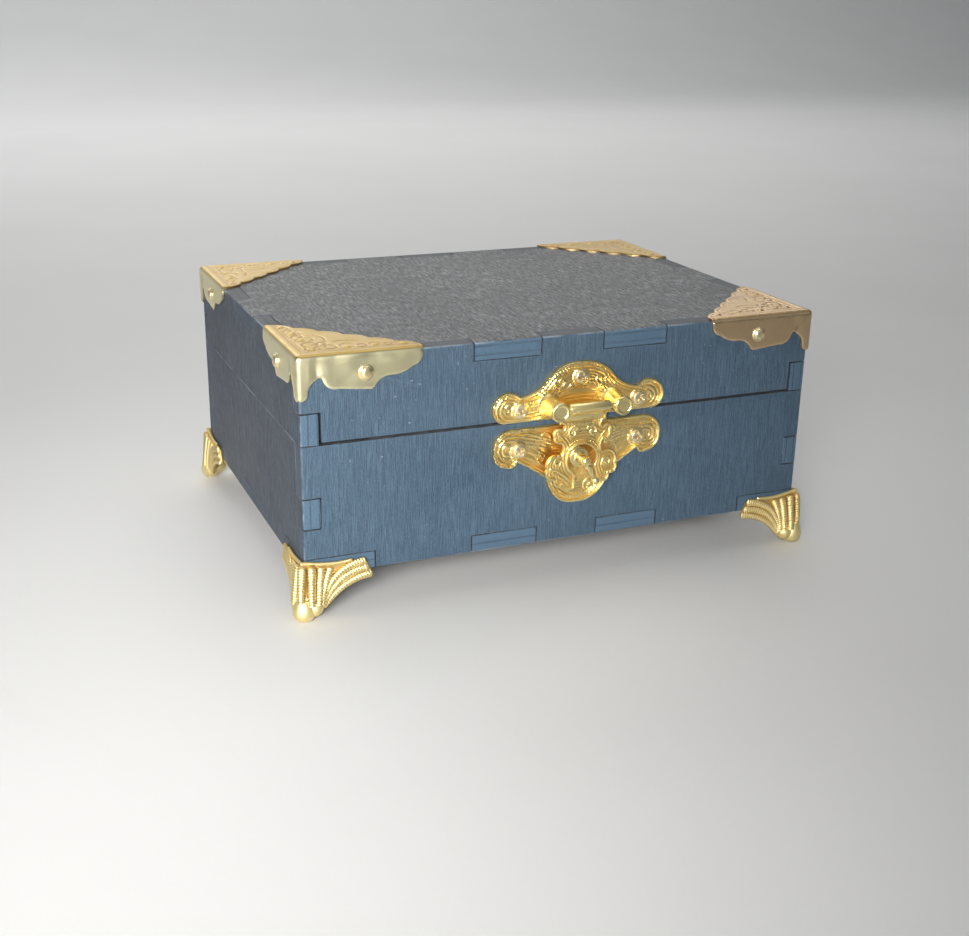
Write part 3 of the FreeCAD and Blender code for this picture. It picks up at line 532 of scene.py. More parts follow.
def basis(outward):
    """Two directions square to an outward one, and itself."""
    outward = np.array(outward, float)
    outward /= np.linalg.norm(outward)
    helper = np.array((0, 0, 1.0)) if abs(outward[2]) < 0.9 else np.array((1.0, 0, 0))
    first = np.cross(helper, outward)
    first /= np.linalg.norm(first)
    return first, np.cross(outward, first), outward


def turned(profile, origin, outward, sides=32):
    """A turned shape from (radius, height) steps; a zero radius closes it."""
    first, second, out = basis(outward)
    origin = np.array(origin, float)
    angles = np.linspace(0, 2 * math.pi, sides, endpoint=False)
    verts, faces, rings = [], [], []
    for radius, height in profile:
        start = len(verts)
        if radius < 1e-6:
            verts.append(origin + out * height)
            rings.append([start] * sides)
        else:
            verts += [origin + out * height
                      + radius * (first * math.cos(angle) + second * math.sin(angle))
                      for angle in angles]
            rings.append(list(range(start, start + sides)))
    for low, high in zip(rings, rings[1:]):
        for index in range(sides):
            after = (index + 1) % sides
            corner = [low[index], low[after], high[after], high[index]]
            faces.append(list(dict.fromkeys(corner)))
    return verts, [face for face in faces if len(face) > 2]


def round_profile(radius, start, end, count, middle=0.0, height=None):
    """The (radius, height) steps of a ball between two angles from its low end (degrees)."""
    return [(radius * math.sin(angle), middle - (height or radius) * math.cos(angle))
            for angle in np.radians(np.linspace(start, end, count))]


def softened_line(points, times=2):
    """A polyline with its corners cut, its ends kept."""
    line = np.array(points, float)
    for _ in range(times):
        inner = np.stack([0.75 * line[:-1] + 0.25 * line[1:],
                          0.25 * line[:-1] + 0.75 * line[1:]], 1).reshape(-1, line.shape[1])
        line = np.vstack([line[:1], inner[1:-1], line[-1:]])
    return line


def bezier(points, count=24):
    """Points along a Bezier curve of any degree."""
    step = np.linspace(0, 1, count)[:, None]
    rows = [np.repeat(np.array(point, float)[None], count, 0) for point in points]
    while len(rows) > 1:
        rows = [first + (second - first) * step for first, second in zip(rows, rows[1:])]
    return rows[0]


def curl(centre, radius, start, end, last=None, count=28):
    """An arc between two angles (degrees); with a last radius it winds in."""
    angle = np.radians(np.linspace(start, end, count))
    reach = np.linspace(radius, radius if last is None else last, count)
    return np.stack([centre[0] + reach * np.cos(angle), centre[1] + reach * np.sin(angle)], 1)


def both_sides(lines):
    """Ornament lines and their mirror images."""
    return lines + [(line * (-1, 1), *rest) for line, *rest in lines]


def smooth(number, low, high):
    share = np.clip((number - low) / (high - low), 0, 1)
    return share * share * (3 - 2 * share)


def hump(gap, width):
    """One at no gap, falling to zero at the width."""
    return np.clip(1 - (gap / width) ** 2, 0, 1)


def edge_drop(away, width):
    """How far a rounded edge has dropped, as a share, within a width of it."""
    return (1 - np.sqrt(hump(width - away, width))) * (away < width)


def ornament(points, lines):
    """The height of raised (or, if negative, engraved) lines: (line, half width, height, bead pitch)."""
    raised, cut = np.zeros(len(points)), np.zeros(len(points))
    for line, width, height, pitch in lines:
        near = np.nonzero((points[:, 0] > line[:, 0].min() - width)
                          & (points[:, 0] < line[:, 0].max() + width)
                          & (points[:, 1] > line[:, 1].min() - width)
                          & (points[:, 1] < line[:, 1].max() + width))[0]
        if not len(near):
            continue
        away, along = nearest(points[near], line)
        swell = np.sqrt(hump(away, width)) * height
        if pitch:
            swell = swell * (0.35 + 0.65 * np.abs(np.sin(math.pi * along / pitch)))
        raised[near] = np.maximum(raised[near], swell)
        cut[near] = np.minimum(cut[near], swell)
    return raised + cut


# --------------------------------------------------------------- fasteners

def islands(node):
    """The separate solids of a CAD node: seat, outward direction, head radius, rise and length (mm)."""
    bm = cad_mesh(node)
    waiting = set(bm.verts)
    found = []
    while waiting:
        stack, members = [waiting.pop()], []
        while stack:
            vert = stack.pop()
            members.append(np.array(vert.co) / MM)
            for edge in vert.link_edges:
                other = edge.other_vert(vert)
                if other in waiting:
                    waiting.remove(other)
                    stack.append(other)
        found.append(np.array(members))
    bm.free()
    seats = []
    for points in found:
        low, high = points.min(0), points.max(0)
        axis = int((high - low).argmax())
        across = [index for index in range(3) if index != axis]
        middle = (low + high) / 2
        away = np.linalg.norm((points - middle)[:, across], axis=1)
        level = points[away > away.max() - 0.02][:, axis].mean()
        sign = 1 if high[axis] - level < level - low[axis] else -1
        outward = np.zeros(3)
        outward[axis] = sign
        tip = high[axis] if sign > 0 else low[axis]
        seat = middle.copy()
        seat[axis] = level
        rise = abs(tip - level)
        seats.append((seat, outward, away.max(), rise, high[axis] - low[axis] - rise))
    return sorted(seats, key=lambda item: tuple(np.round(item[0], 1)))


def shank(radius, length):
    """The hidden part of a fastener, from its point to under the head."""
    return [(0, -length), (0.5 * radius, -0.8 * length), (radius, -0.6 * length), (radius, 0)]


NAIL_DOME = [(1.0, 0.0), (1.0, 0.10), (0.93, 0.22), (0.84, 0.30), (0.80, 0.52), (0.66, 0.80),
             (0.42, 0.96), (0.2, 1.0), (0, 1.0)]


def nails(node, slot):
    shell = Shell()
    for seat, outward, radius, rise, length in islands(node):
        profile = shank(0.36 * radius, length)
        profile += [(radius * across, rise * up) for across, up in NAIL_DOME]
        shell.add(*turned(softened_line(profile, 1), seat, outward, 28))
    shell.stand_in(node + "_domed", node, slot, 50)


def recessed_head(radius, rise, wide, reach, turn):
    """The height of a domed head with a cross recess turned by an angle."""
    def height(points):
        away = np.linalg.norm(points, axis=1) / radius
        dome = rise * (0.30 + 0.70 * np.sqrt(np.clip(1 - (0.93 * away) ** 2, 0, 1)))
        dome *= 1 - 0.75 * smooth(away, 0.86, 1.0)
        cos, sin = math.cos(turn), math.sin(turn)
        first = np.abs(points @ np.array((cos, sin))) / radius
        second = np.abs(points @ np.array((-sin, cos))) / radius
        arm = np.minimum(np.maximum(first / reach, second / wide),
                         np.maximum(second / reach, first / wide))
        return dome - 0.78 * rise * (1 - smooth(arm, 0.8, 1.08))
    return height


def screws(node, slot, wide, reach):
    shell = Shell()
    for count, (seat, outward, radius, rise, length) in enumerate(islands(node)):
        first, second, out = basis(outward)
        loop = curl((0, 0), radius, 0, 360, count=41)[:-1]
        turn = 0.5 + 1.1 * count

        def lift(points, up, seat=seat, first=first, second=second, out=out):
            return seat + points[:, :1] * first + points[:, 1:] * second + up[:, None] * out

        # Painted shade: the level follows the head's height, so the cross recess and edge are a deeper gold.
        shell.leaf(loop, radius / 15, lift, recessed_head(radius, rise, wide, reach, turn),
                   lambda _, rising, rise=rise: rising / rise + 0.15)
        shell.add(*turned(shank(0.36 * radius, length) + [(0, 0)], seat, outward, 16))
    shell.stand_in(node + "_heads", node, slot, 35)


nails("bracket_nails", "nail_heads")
for node in ("latch_upper_screws", "latch_lower_screws"):
    screws(node, "screw_heads", 0.17, 0.62)
for node in ("hinge_lid_screws", "hinge_base_screws", "foot_screws"):
    screws(node, "screw_heads", 0.18, 0.66)


# ------------------------------------------------------------------- latch

ORIGIN = np.array((LATCH_X, FRONT, UNDER)) / MM
PLATE_MM = PLATE / MM


def on_front(points, out):
    """Latch points (across, up) at distances out from the front wall."""
    return ORIGIN + np.stack([points[:, 0], -out, points[:, 1]], 1)


def latch_loop(node, step):
    loop = outline(node, Y, 1)
    return evened(loop - (ORIGIN[0], ORIGIN[2]), step)


def seats_of(node):
    """Screw seats in latch coordinates."""
    return [np.array((seat[0] - ORIGIN[0], seat[2] - ORIGIN[2])) for seat, *_ in islands(node)]


def embossed(loop, thickness, lines, seats, bead_zone, belly):
    """A cast plate's height: round edge, raised border, beads inside it, sunk field and ornament."""
    ring = closed(loop)

    def height(points):
        away, along = nearest(points, ring)
        rim = 1 - smooth(away, 0.65, 0.95)
        field = thickness * (0.50 + belly * smooth(away, 1.0, 6.0))
        rise = field + (thickness * 1.06 - field) * rim
        beads = np.sqrt(hump(away - 1.45, 0.48)) * (0.40 + 0.60 * np.abs(np.sin(math.pi * along / 1.05)))
        second = 0.5 * hump(away - 2.25, 0.22)
        rise += 0.26 * np.where(bead_zone(points), np.maximum(beads, second), 0)
        drawn = ornament(points, lines)
        ripple = 0.5 + 0.5 * np.cos(2 * math.pi * (away - 1.45) / 0.85)
        rise += 0.14 * ripple * smooth(away, 0.9, 1.3) * (1 - smooth(drawn, 0.02, 0.12))
        rise += 0.8 * drawn * smooth(away, 0.7, 1.1)
        for seat, reach in seats:
            gap = np.linalg.norm(points - seat, axis=1)
            level = 1 - smooth(gap, reach, reach + 0.5)
            rise += (thickness - rise) * level
        return rise - 0.42 * edge_drop(away, 0.42)
    return height


def shade_of(thickness, low=0.0, high=0.0):
    """Painted shade levels: bright high spots and darker low ones; between two heights the middle of the
    latch gets a deeper gold as painted warm reflection and shade.
    """
    def shade(points, rise):
        middle = 1 - smooth(np.abs(points[:, 0] + 1.5), 6, 11)
        band = smooth(points[:, 1], low - 1, low + 1) * (1 - smooth(points[:, 1], high - 1, high + 1))
        return (rise - 0.46 * thickness) / (0.50 * thickness) - 0.6 * middle * band * (high > low)
    return shade


def ear_lines(centre, upward, spread, target):
    """Concentric curls round an ear that run on as flowing lines towards the middle."""
    lines = []
    for reach in spread:
        arc = curl(centre, reach, -125 * upward, 90 * upward)
        end = arc[-1]
        flow = bezier([end, (end[0] - 4.5, end[1] + 0.1 * upward),
                       (target[0], target[1] + 0.75 * upward * reach)], 18)
        lines.append((np.vstack([arc, flow[1:]]), 0.40, 0.36, 0))
    return lines


UPPER_LINES = both_sides(
    ear_lines((21.3, 41.0), -1, (1.5, 2.7, 3.9), (10.5, 41.3)) + [
        (curl((22.4, 41.0), 0.8, 0, 350, count=14), 0.42, 0.30, 0),
        (bezier([(19.6, 43.6), (15.5, 44.6), (11.2, 47.6)]), 0.36, 0.32, 0),
        (bezier([(16.0, 42.3), (13.0, 43.0), (9.2, 46.2)]), 0.34, 0.30, 0.9),
        (curl((6.1, 47.6), 2.0, 30, -330, 0.5, 40), 0.36, 0.40, 0),
        (bezier([(7.8, 48.6), (6.0, 50.6), (2.9, 50.4)]), 0.32, 0.32, 0),
        (bezier([(8.3, 46.0), (5.2, 44.6), (2.6, 45.9), (3.0, 47.1)]), 0.34, 0.34, 0),
        (bezier([(12.6, 46.3), (10.4, 46.0), (9.0, 44.2)]), 0.30, 0.28, 0.8),
        (bezier([(14.2, 39.8), (12.9, 41.8), (13.4, 43.2)]), 0.26, 0.24, 0),
        (bezier([(15.4, 39.7), (14.5, 41.2), (14.9, 42.6)]), 0.24, 0.24, 0),
    ]) + [
        (bezier([(-7.4, 43.2), (0, 45.6), (7.4, 43.2)]), 0.30, 0.26, 0),
        (bezier([(-7.2, 42.2), (0, 44.4), (7.2, 42.2)]), 0.28, 0.24, 0),
        (bezier([(-7.0, 41.2), (0, 43.2), (7.0, 41.2)]), 0.26, 0.22, 0),
        (bezier([(-7.0, 40.0), (0, 41.6), (7.0, 40.0)]), 0.26, 0.22, 0),
        (bezier([(-8.0, 38.6), (0, 39.2), (8.0, 38.6)]), 0.30, 0.24, 0.9),
    ]
LOWER_LINES = both_sides(
    ear_lines((21.7, 29.5), 1, (1.5, 2.7, 3.9, 5.1), (8.6, 27.4)) + [
        (curl((10.6, 31.8), 1.9, 200, -150, 0.45, 36), 0.36, 0.40, 0),
        (bezier([(13.2, 33.9), (10.4, 34.6), (7.6, 33.4)]), 0.32, 0.30, 0.85),
        (bezier([(17.6, 27.2), (13.4, 26.6), (9.0, 22.2)]), 0.38, 0.34, 0),
        (bezier([(16.4, 28.6), (12.6, 27.8), (7.8, 24.0)]), 0.32, 0.30, 0.85),
        (bezier([(8.6, 21.0), (8.0, 24.4), (5.2, 26.4)]), 0.32, 0.30, 0),
        (bezier([(13.6, 25.0), (12.0, 26.2), (11.8, 27.8)]), 0.24, 0.24, 0),
        (bezier([(12.2, 24.2), (10.6, 25.2), (10.3, 26.8)]), 0.24, 0.24, 0),
        (curl((3.6, 16.6), 1.7, 240, -80, 0.4, 34), 0.34, 0.38, 0),
        (bezier([(6.2, 18.4), (4.4, 20.4), (1.2, 19.8)]), 0.32, 0.32, 0),
    ]) + [
        (curl((0, 19.5), 5.4, 215, 325), 0.34, 0.34, 0.95),
        (curl((0, 20.2), 7.0, 222, 318), 0.30, 0.28, 0),
    ]
FLAP_LINES = [
    (curl((2.9, 33.4), 1.9, 150, -210, 0.45, 40), 0.36, 0.40, 0),
    (curl((-2.9, 33.4), 1.9, 30, 390, 0.45, 40), 0.34, 0.36, 0),
    (bezier([(-5.8, 36.6), (0, 35.2), (5.8, 36.6)]), 0.34, 0.34, 0.95),
    (bezier([(-6.0, 37.9), (0, 37.3), (6.0, 37.9)]), 0.30, 0.28, 0),
    (curl((0, 25.3), 5.8, 20, 215), 0.30, 0.34, 0.9),
    (bezier([(-7.6, 33.4), (-5.6, 31.6), (-4.6, 29.6)]), 0.30, 0.28, 0),
    (bezier([(7.6, 33.4), (5.6, 31.6), (4.8, 29.6)]), 0.30, 0.28, 0),
    (bezier([(-9.6, 23.2), (-6.4, 22.6), (-3.0, 18.4)]), 0.36, 0.36, 0),
    (bezier([(-9.0, 21.6), (-6.4, 20.8), (-3.8, 18.2)]), 0.32, 0.32, 0.85),
    (curl((-7.7, 25.2), 1.4, -60, 260, 0.4, 30), 0.32, 0.34, 0),
    (curl((8.0, 23.6), 1.6, 200, -150, 0.4, 34), 0.34, 0.36, 0),
    (bezier([(-2.9, 21.0), (-4.6, 22.4), (-5.6, 24.4)]), 0.28, 0.28, 0),
]


SCREW_SEAT = 2.3


def plate(node, lines, seats, bead_zone, low, high):
    """A wall plate of the latch, flat under its screws and at other seats (place, reach)."""
    seats = seats + [(seat, SCREW_SEAT) for seat in seats_of(node.replace("_plate", "_screws"))]
    loop = latch_loop(node, 0.28)
    shell = Shell()
    shell.leaf(loop, 0.22, on_front,
               embossed(loop, PLATE_MM, lines, seats, bead_zone, 0.16),
               shade_of(PLATE_MM, low, high))
    return shell


PIN_LOW, PIN_HIGH = box_mm("hasp_pin")
PIN_MIDDLE = (PIN_LOW + PIN_HIGH) / 2
PIN_RADIUS = (PIN_HIGH[2] - PIN_LOW[2]) / 2
LUG_REACH = FRONT / MM - box_mm("latch_upper_plate")[0][1]
LUG_LOOPS = [loop - (ORIGIN[0], ORIGIN[2]) for loop in loops("latch_upper_plate", Y, -1)[:2]]
LUGS = [loop.mean(0) for loop in LUG_LOOPS]
LUG_RADIUS = np.ptp(LUG_LOOPS[0][:, 0]) / 2

SWIVEL_UP = sum(corner[2] for corner in box_mm("swivel_post")) / 2 - ORIGIN[2]
upper = plate("latch_upper_plate", UPPER_LINES,
              [(lug, LUG_RADIUS + 0.3) for lug in LUGS],
              lambda points: points[:, 1] > 44.4, 37, 44)
LUG_STEPS = [(0.7, 0.3), (0.55, PLATE_MM), (0.1, PLATE_MM + 0.5), (-0.15, PLATE_MM + 1.2),
             (-0.15, LUG_REACH - 2.2), (0, LUG_REACH - 1.8), (0, LUG_REACH - 0.3), (-0.25, LUG_REACH),
             (-0.7, LUG_REACH), (-0.85, LUG_REACH - 0.22), (-1.2, LUG_REACH - 0.24)]
LUG_PROFILE = [(0, 0.3), *((LUG_RADIUS + wider, up) for wider, up in LUG_STEPS), (0, LUG_REACH - 0.12)]
for lug in LUGS:
    upper.add(*turned(softened_line(LUG_PROFILE, 1), on_front(lug[None], np.zeros(1))[0], (0, -1, 0), 36))
upper.stand_in("upper_plate_relief", "latch_upper_plate", "bright_gilt")
lower = plate("latch_lower_plate", LOWER_LINES,
              [(np.array((0, SWIVEL_UP)), 3.2)],
              lambda points: points[:, 1] < 20.5, 22, 36)
lower.stand_in("lower_plate_relief", "latch_lower_plate", "bright_gilt")

# The hinge rod between the lugs.
rod_shell = Shell()
pin_length = PIN_HIGH[0] - PIN_LOW[0]
rod_shell.add(*turned([(0, 0), (PIN_RADIUS - 0.2, 0), (PIN_RADIUS, 0.2), (PIN_RADIUS, pin_length - 0.2),
                       (PIN_RADIUS - 0.2, pin_length), (0, pin_length)],
                      (PIN_LOW[0], PIN_MIDDLE[1], PIN_MIDDLE[2]), (1, 0, 0), 28))
rod_shell.stand_in("hasp_rod", "hasp_pin", "bright_gilt")

# The flap: worked ring, sloping web and the sheet rolled round the rod.
STANDOFF = (FRONT / MM) - box_mm("hasp_flap")[1][1]
FLAP_SHEET = 0.8


def off_front(points, out):
    return on_front(points, out + STANDOFF)


flap_loop = latch_loop("hasp_flap", 0.26)
flap = Shell()
flap.leaf(flap_loop, 0.2, off_front,
          embossed(flap_loop, FLAP_SHEET, FLAP_LINES, [], lambda points: points[:, 1] < -1, 0.22),
          shade_of(FLAP_SHEET))
ROLL_RADIUS = 1.21
ROLL_THICK = 0.58
pin_out = FRONT / MM - PIN_MIDDLE[1]
pin_up = PIN_MIDDLE[2] - ORIGIN[2]
roll = [(pin_out + ROLL_RADIUS * math.cos(angle), pin_up + ROLL_RADIUS * math.sin(angle))
        for angle in np.radians(np.linspace(-80, 250, 40))]
neck = softened_line([(STANDOFF + 0.42, pin_up - 4.6), (STANDOFF + 0.44, pin_up - 3.4),
                      (STANDOFF + 1.2, pin_up - 2.5), (STANDOFF + 3.0, pin_up - 1.5), roll[0]], 2)
path = np.vstack([neck[:-1], roll])


def rolled(shell, path, thick, low, high):
    """A strip of sheet that follows a path (out, up) between two ends across."""
    run = np.gradient(path, axis=0)
    run /= np.linalg.norm(run, axis=1)[:, None]
    side = np.stack([-run[:, 1], run[:, 0]], 1) * thick / 2
    section = np.vstack([path + side, (path - side)[::-1]])
    bevel = 0.12
    verts = []
    for across, shrink in ((low, 0.78), (low + bevel, 1), (high - bevel, 1), (high, 0.78)):
        ring = np.vstack([path + side * shrink, (path - side * shrink)[::-1]])
        verts += [ORIGIN + (across, -out, up) for out, up in ring]
    count = len(section)
    faces = []
    for row in range(3):
        for index in range(count):
            after = (index + 1) % count
            faces.append([row * count + index, row * count + after,
                          (row + 1) * count + after, (row + 1) * count + index])
    half = count // 2
    for row in (0, 3):
        for index in range(half - 1):
            faces.append([row * count + index, row * count + index + 1,
                          row * count + count - 2 - index, row * count + count - 1 - index])
    shell.add(verts, faces)


rolled(flap, path, ROLL_THICK, -6.7, 5.7)
flap.stand_in("flap_relief", "hasp_flap", "bright_gilt")

# The catch: a flanged post, and a ball-ended lever on it.
post_low, post_high = box_mm("swivel_post")
post_centre = (post_low + post_high) / 2
post_seat = (post_centre[0], FRONT / MM - PLATE_MM, post_centre[2])
post_reach = post_seat[1] - post_low[1]
flange = (post_high[2] - post_low[2]) / 2
post = Shell()
post.add(*turned(softened_line([
    (0, 0), (flange, 0), (flange, 0.35), (flange - 0.35, 0.8), (1.9, 0.8), (1.6, 1.0), (1.2, 1.2),
    (1.2, 2.3), (1.0, 2.5), (0.6, 2.5), (0.6, post_reach - 0.1), (0, post_reach)], 1),
    post_seat, (0, -1, 0), 36))
post.stand_in("swivel_stud", "swivel_post", "bright_gilt")

lever_low, lever_high = box_mm("swivel_lever")
BALL = (lever_high[1] - lever_low[1]) / 2
TIP = 1.1
ball_centre = np.array((post_centre[0], (lever_low[1] + lever_high[1]) / 2, post_centre[2]))
tip_centre = np.array((lever_high[0] - TIP, ball_centre[1], lever_low[2] + TIP))
along = tip_centre - ball_centre
length = np.linalg.norm(along)
lever = Shell()
lever.add(*turned(round_profile(BALL, 0, 140, 15)
                  + [(1.15, 1.62), (1.22, 1.9), (1.22, 2.15), (1.05, 2.4), (0.98, 3.6), (0.86, 5.0),
                     (0.74, length - 1.3)]
                  + round_profile(TIP, 35, 180, 12, length), ball_centre, along, 28))
button = [(0, 0.2), (1.0, 0.2), (1.0, BALL - 0.1), (0.85, BALL + 0.05), (0, BALL + 0.12)]
lever.add(*turned(button, ball_centre, (0, -1, 0), 24))
lever.stand_in("swivel_catch", "swivel_lever", "bright_gilt")


# ------------------------------------------------------------ lid corners

CORNERS = {
    "front_left": (LEFT, FRONT, 0),
    "front_right": (RIGHT, FRONT, 90),
    "back_right": (RIGHT, BACK, 180),
    "back_left": (LEFT, BACK, 270),
}
SHEET_MM = SHEET / MM
BEND = 1.45


def corner_frame(where, level):
    across, deep, turn = CORNERS[where]
    return Matrix.Translation((across, deep, level)) @ Matrix.Rotation(math.radians(turn), 4, "Z")


def bracket_lift(flat_axis):
    """Places sheet points on the rounded corner: flat_axis is the axis square to that leg."""
    outward = np.array((-1.0, -1.0, 1.0))
    across = [index for index in range(3) if index != flat_axis]
    core = outward * (SHEET_MM - BEND)

    def lift(points, rise):
        spot = np.zeros((len(points), 3))
        spot[:, across] = points
        spot[:, flat_axis] = outward[flat_axis] * SHEET_MM
        rest = np.where(outward > 0, np.minimum(spot, core), np.maximum(spot, core))
        away = spot - rest
        away /= np.linalg.norm(away, axis=1)[:, None]
        return rest + away * (BEND - SHEET_MM + rise)[:, None]
    return lift


def top_lines():
    """Engraving on the top leg, in bracket coordinates: scrolls along both edges."""
    half = [
        (curl((10.2, 6.6), 3.0, -160, 190, 0.7, 44), 0.34, -0.11, 0),
        (curl((18.6, 5.4), 2.3, -170, 180, 0.6, 40), 0.32, -0.11, 0),
        (curl((25.6, 4.6), 1.7, -170, 180, 0.5, 34), 0.30, -0.10, 0),
        (bezier([(13.2, 6.8), (14.8, 9.6), (17.2, 7.6)]), 0.30, -0.10, 0),
        (bezier([(20.9, 5.4), (21.8, 8.0), (24.2, 6.0)]), 0.28, -0.10, 0),
        (bezier([(27.3, 4.6), (29.4, 6.2), (32.6, 2.8)]), 0.28, -0.10, 0),
        (bezier([(12.6, 10.8), (16.0, 12.4), (19.4, 9.8)]), 0.30, -0.10, 0),
        (bezier([(7.4, 4.2), (5.4, 3.9), (4.2, 3.2)]), 0.28, -0.10, 0),
        (bezier([(15.4, 3.6), (14.6, 3.4), (13.4, 3.8)]), 0.26, -0.12, 0),
    ]
    swapped = [(line[:, ::-1], *rest) for line, *rest in half]
    middle = [(curl((9.6, 9.6), 2.0, 45, 405, 0.6, 34), 0.32, -0.11, 0),
              (bezier([(4.0, 4.0), (6.8, 5.6), (7.8, 8.6)]), 0.28, -0.10, 0),
              (bezier([(4.0, 4.0), (5.6, 6.8), (8.6, 7.8)]), 0.28, -0.10, 0)]
    return half + swapped + middle


BUMPS = [(5.2, 5.2), (14.6, 4.9), (22.3, 4.6), (29.8, 3.4), (4.9, 14.6), (4.6, 22.3), (3.4, 29.8)]


def cut_edges(loop, bend):
    """The first and second ends of a loop's edges that are not bends."""
    after = np.roll(loop, -1, 0)
    free = [not bend(middle) for middle in (loop + after) / 2]
    return loop[free], after[free]


def bracket_shell():
    shell = Shell()
    source = "bracket_front_left"
    low, _ = box_mm(source)
    corner = low + SHEET_MM
    corner[2] = TOP / MM
    legs = {
        Z: (outline(source, Z, 1) - corner[:2], lambda at: min(at[0], at[1]) < -SHEET_MM + 0.01),
    }
    for axis, across in ((Y, X), (X, Y)):
        legs[axis] = (outline(source, axis, -1) - corner[[across, Z]],
                      lambda at: at[0] < -SHEET_MM + 0.01 or at[1] > SHEET_MM - 0.01)
    lines = top_lines()
    for axis, (loop, bend) in legs.items():
        loop = evened(loop, 0.4)
        cut = cut_edges(loop, bend)

        def height(points, axis=axis, cut=cut):
            away, _ = nearest(points, *cut)
            rise = SHEET_MM - 0.24 * edge_drop(away, 0.3)
            if axis == Z:
                inner = points.min(1)
                for line_at in (2.0, 2.75):
                    rise -= 0.12 * hump(inner - line_at, 0.22) * (inner < 3.2)
                rise -= 0.12 * hump(away - 1.15, 0.24)
                rise += 1.5 * ornament(points, lines) * smooth(away, 1.3, 1.7)
                for bump in BUMPS:
                    gap = np.linalg.norm(points - bump, axis=1)
                    rise += 0.30 * np.sqrt(hump(gap, 0.95)) - 0.06 * hump(gap - 1.25, 0.25)
            else:
                dent = points - (4.6, -3.4)
                pinch = np.exp(-(dent[:, 0] / 1.0) ** 2 - (dent[:, 1] / 2.2) ** 2)
                rise -= 0.34 * pinch
                rise += 0.12 * np.exp(-((points[:, 0] - 2.6) / 0.9) ** 2 - ((points[:, 1] + 5) / 3) ** 2)
                rise += 0.10 * np.exp(-((points[:, 0] - 7.4) / 1.4) ** 2 - ((points[:, 1] + 4) / 3) ** 2)
                rise += 0.035 * np.sin(0.5 * points[:, 0] + 1.2) * smooth(away, 0.5, 2.5)
            return rise

        # Painted shade: on the top leg the engraving and dents take the deep colour; the side legs keep one
        # level.
        shell.leaf(loop, 0.34 if axis == Z else 0.45, bracket_lift(axis), height,
                   (lambda _, rise: (rise - SHEET_MM + 0.16) / 0.20) if axis == Z
                   else (lambda _, rise: np.full(len(rise), 0.92)), bend)
    return shell


brackets = bracket_shell()
for where in CORNERS:
    node = f"bracket_{where}"
    # Painted shade: the front-right bracket takes the darker copy of the same brass.
    tone = "shaded_bronze_gilt" if where == "front_right" else "pale_gilt"
    brackets.stand_in(node + "_bent", node, "pale_gilt", 45, MATERIALS[tone], corner_frame(where, TOP))


# -------------------------------------------------------------- corner feet

TOE_SHIFT = -0.6
WING_BACK = 0.15
LEAN = 0.80
# Ribs: points (along the wing, out, up) from the toe to the wing's edge, end radii and last flatness.
CORNER_RIB = ([(-1.5, 1.5, 4.6), (-1.6, 1.6, 9.5), (-0.95, 0.95, 16.0)], 1.15, 1.40, 0.8)
RIBS = [
    ([(1.1, 2.5, 4.6), (1.2, 2.2, 9.5), (1.7, 1.2, 15.7)], 1.20, 1.42, 0.80),
    ([(3.2, 2.1, 4.4), (3.5, 2.0, 9.5), (4.5, 1.05, 15.1)], 1.10, 1.35, 0.75),
    ([(4.3, 1.5, 4.2), (4.8, 1.7, 9.5), (7.2, 0.95, 14.7)], 1.00, 1.25, 0.70),
    ([(4.7, 1.3, 4.0), (5.2, 1.6, 10.3), (10.2, 0.95, 14.9), (17.1, 0.80, 14.9)], 0.95, 1.25, 0.60),
    ([(4.9, 1.1, 3.6), (6.4, 1.5, 8.8), (11.0, 0.95, 12.8), (18.0, 0.80, 12.85)], 0.90, 1.20, 0.60),
    ([(4.9, 0.9, 3.2), (7.4, 1.3, 6.5), (11.6, 0.95, 10.7), (18.9, 0.85, 10.9)], 0.85, 1.12, 0.65),
]
TOP_LIP = [(-1.2, 0.8, 16.75), (2.0, 0.8, 16.5), (5.5, 0.75, 15.3), (9.5, 0.7, 15.2), (13.5, 0.7, 15.9)]
LOBES = [(2.2, 0.6, 3.5, 2.75), (4.3, 0.5, 4.6, 1.75)]


def swept(path, radii, outward, rope_pitch=0.0, sides=14, flat=1.0):
    """A rib along a 3-D path with round ends; a pitch cuts slanting rope grooves into it."""
    run = np.gradient(path, axis=0)
    run /= np.linalg.norm(run, axis=1)[:, None]
    side = np.cross(run, outward)
    side /= np.linalg.norm(side, axis=1)[:, None]
    high = np.cross(side, run)
    travelled = np.concatenate([[0], np.cumsum(np.linalg.norm(np.diff(path, axis=0), axis=1))])
    left = travelled[-1] - travelled
    radii = radii * np.sqrt(np.clip(1 - (1 - np.clip(left / 0.8, 0, 1)) ** 2, 0.01, 1))
    flats = np.linspace(1.0, flat, len(path))
    angles = np.linspace(-math.pi, math.pi, sides, endpoint=False)
    verts, rings, levels = [], [], []
    for spot, radius, across, up, at, thin in zip(path, radii, side, high, travelled, flats):
        rings.append(range(len(verts), len(verts) + sides))
        for angle in angles:
            groove = 0.0
            if rope_pitch:
                groove = 1 - abs(math.sin(math.pi * (at / rope_pitch + 0.35 * abs(angle))))
            reach = radius * (1 - 0.20 * groove)
            verts.append(spot + reach * (math.sin(angle) * across + thin * math.cos(angle) * up))
            # Painted shade: each rib's flanks, underside and rope grooves get low levels, a deeper gold.
            levels.append(smooth(math.cos(angle), -0.05, 0.7) * (1.0 - 0.65 * groove))
    faces = []
    for low, after in zip(rings, rings[1:]):
        faces += [[low[i], low[(i + 1) % sides], after[(i + 1) % sides], after[i]]
                  for i in range(sides)]
    for ring, spot in ((rings[0], path[0]), (rings[-1], path[-1])):
        verts.append(spot)
        levels.append(0.8)
        faces += [[ring[i], ring[(i + 1) % sides], len(verts) - 1] for i in range(sides)]
    return verts, faces, levels


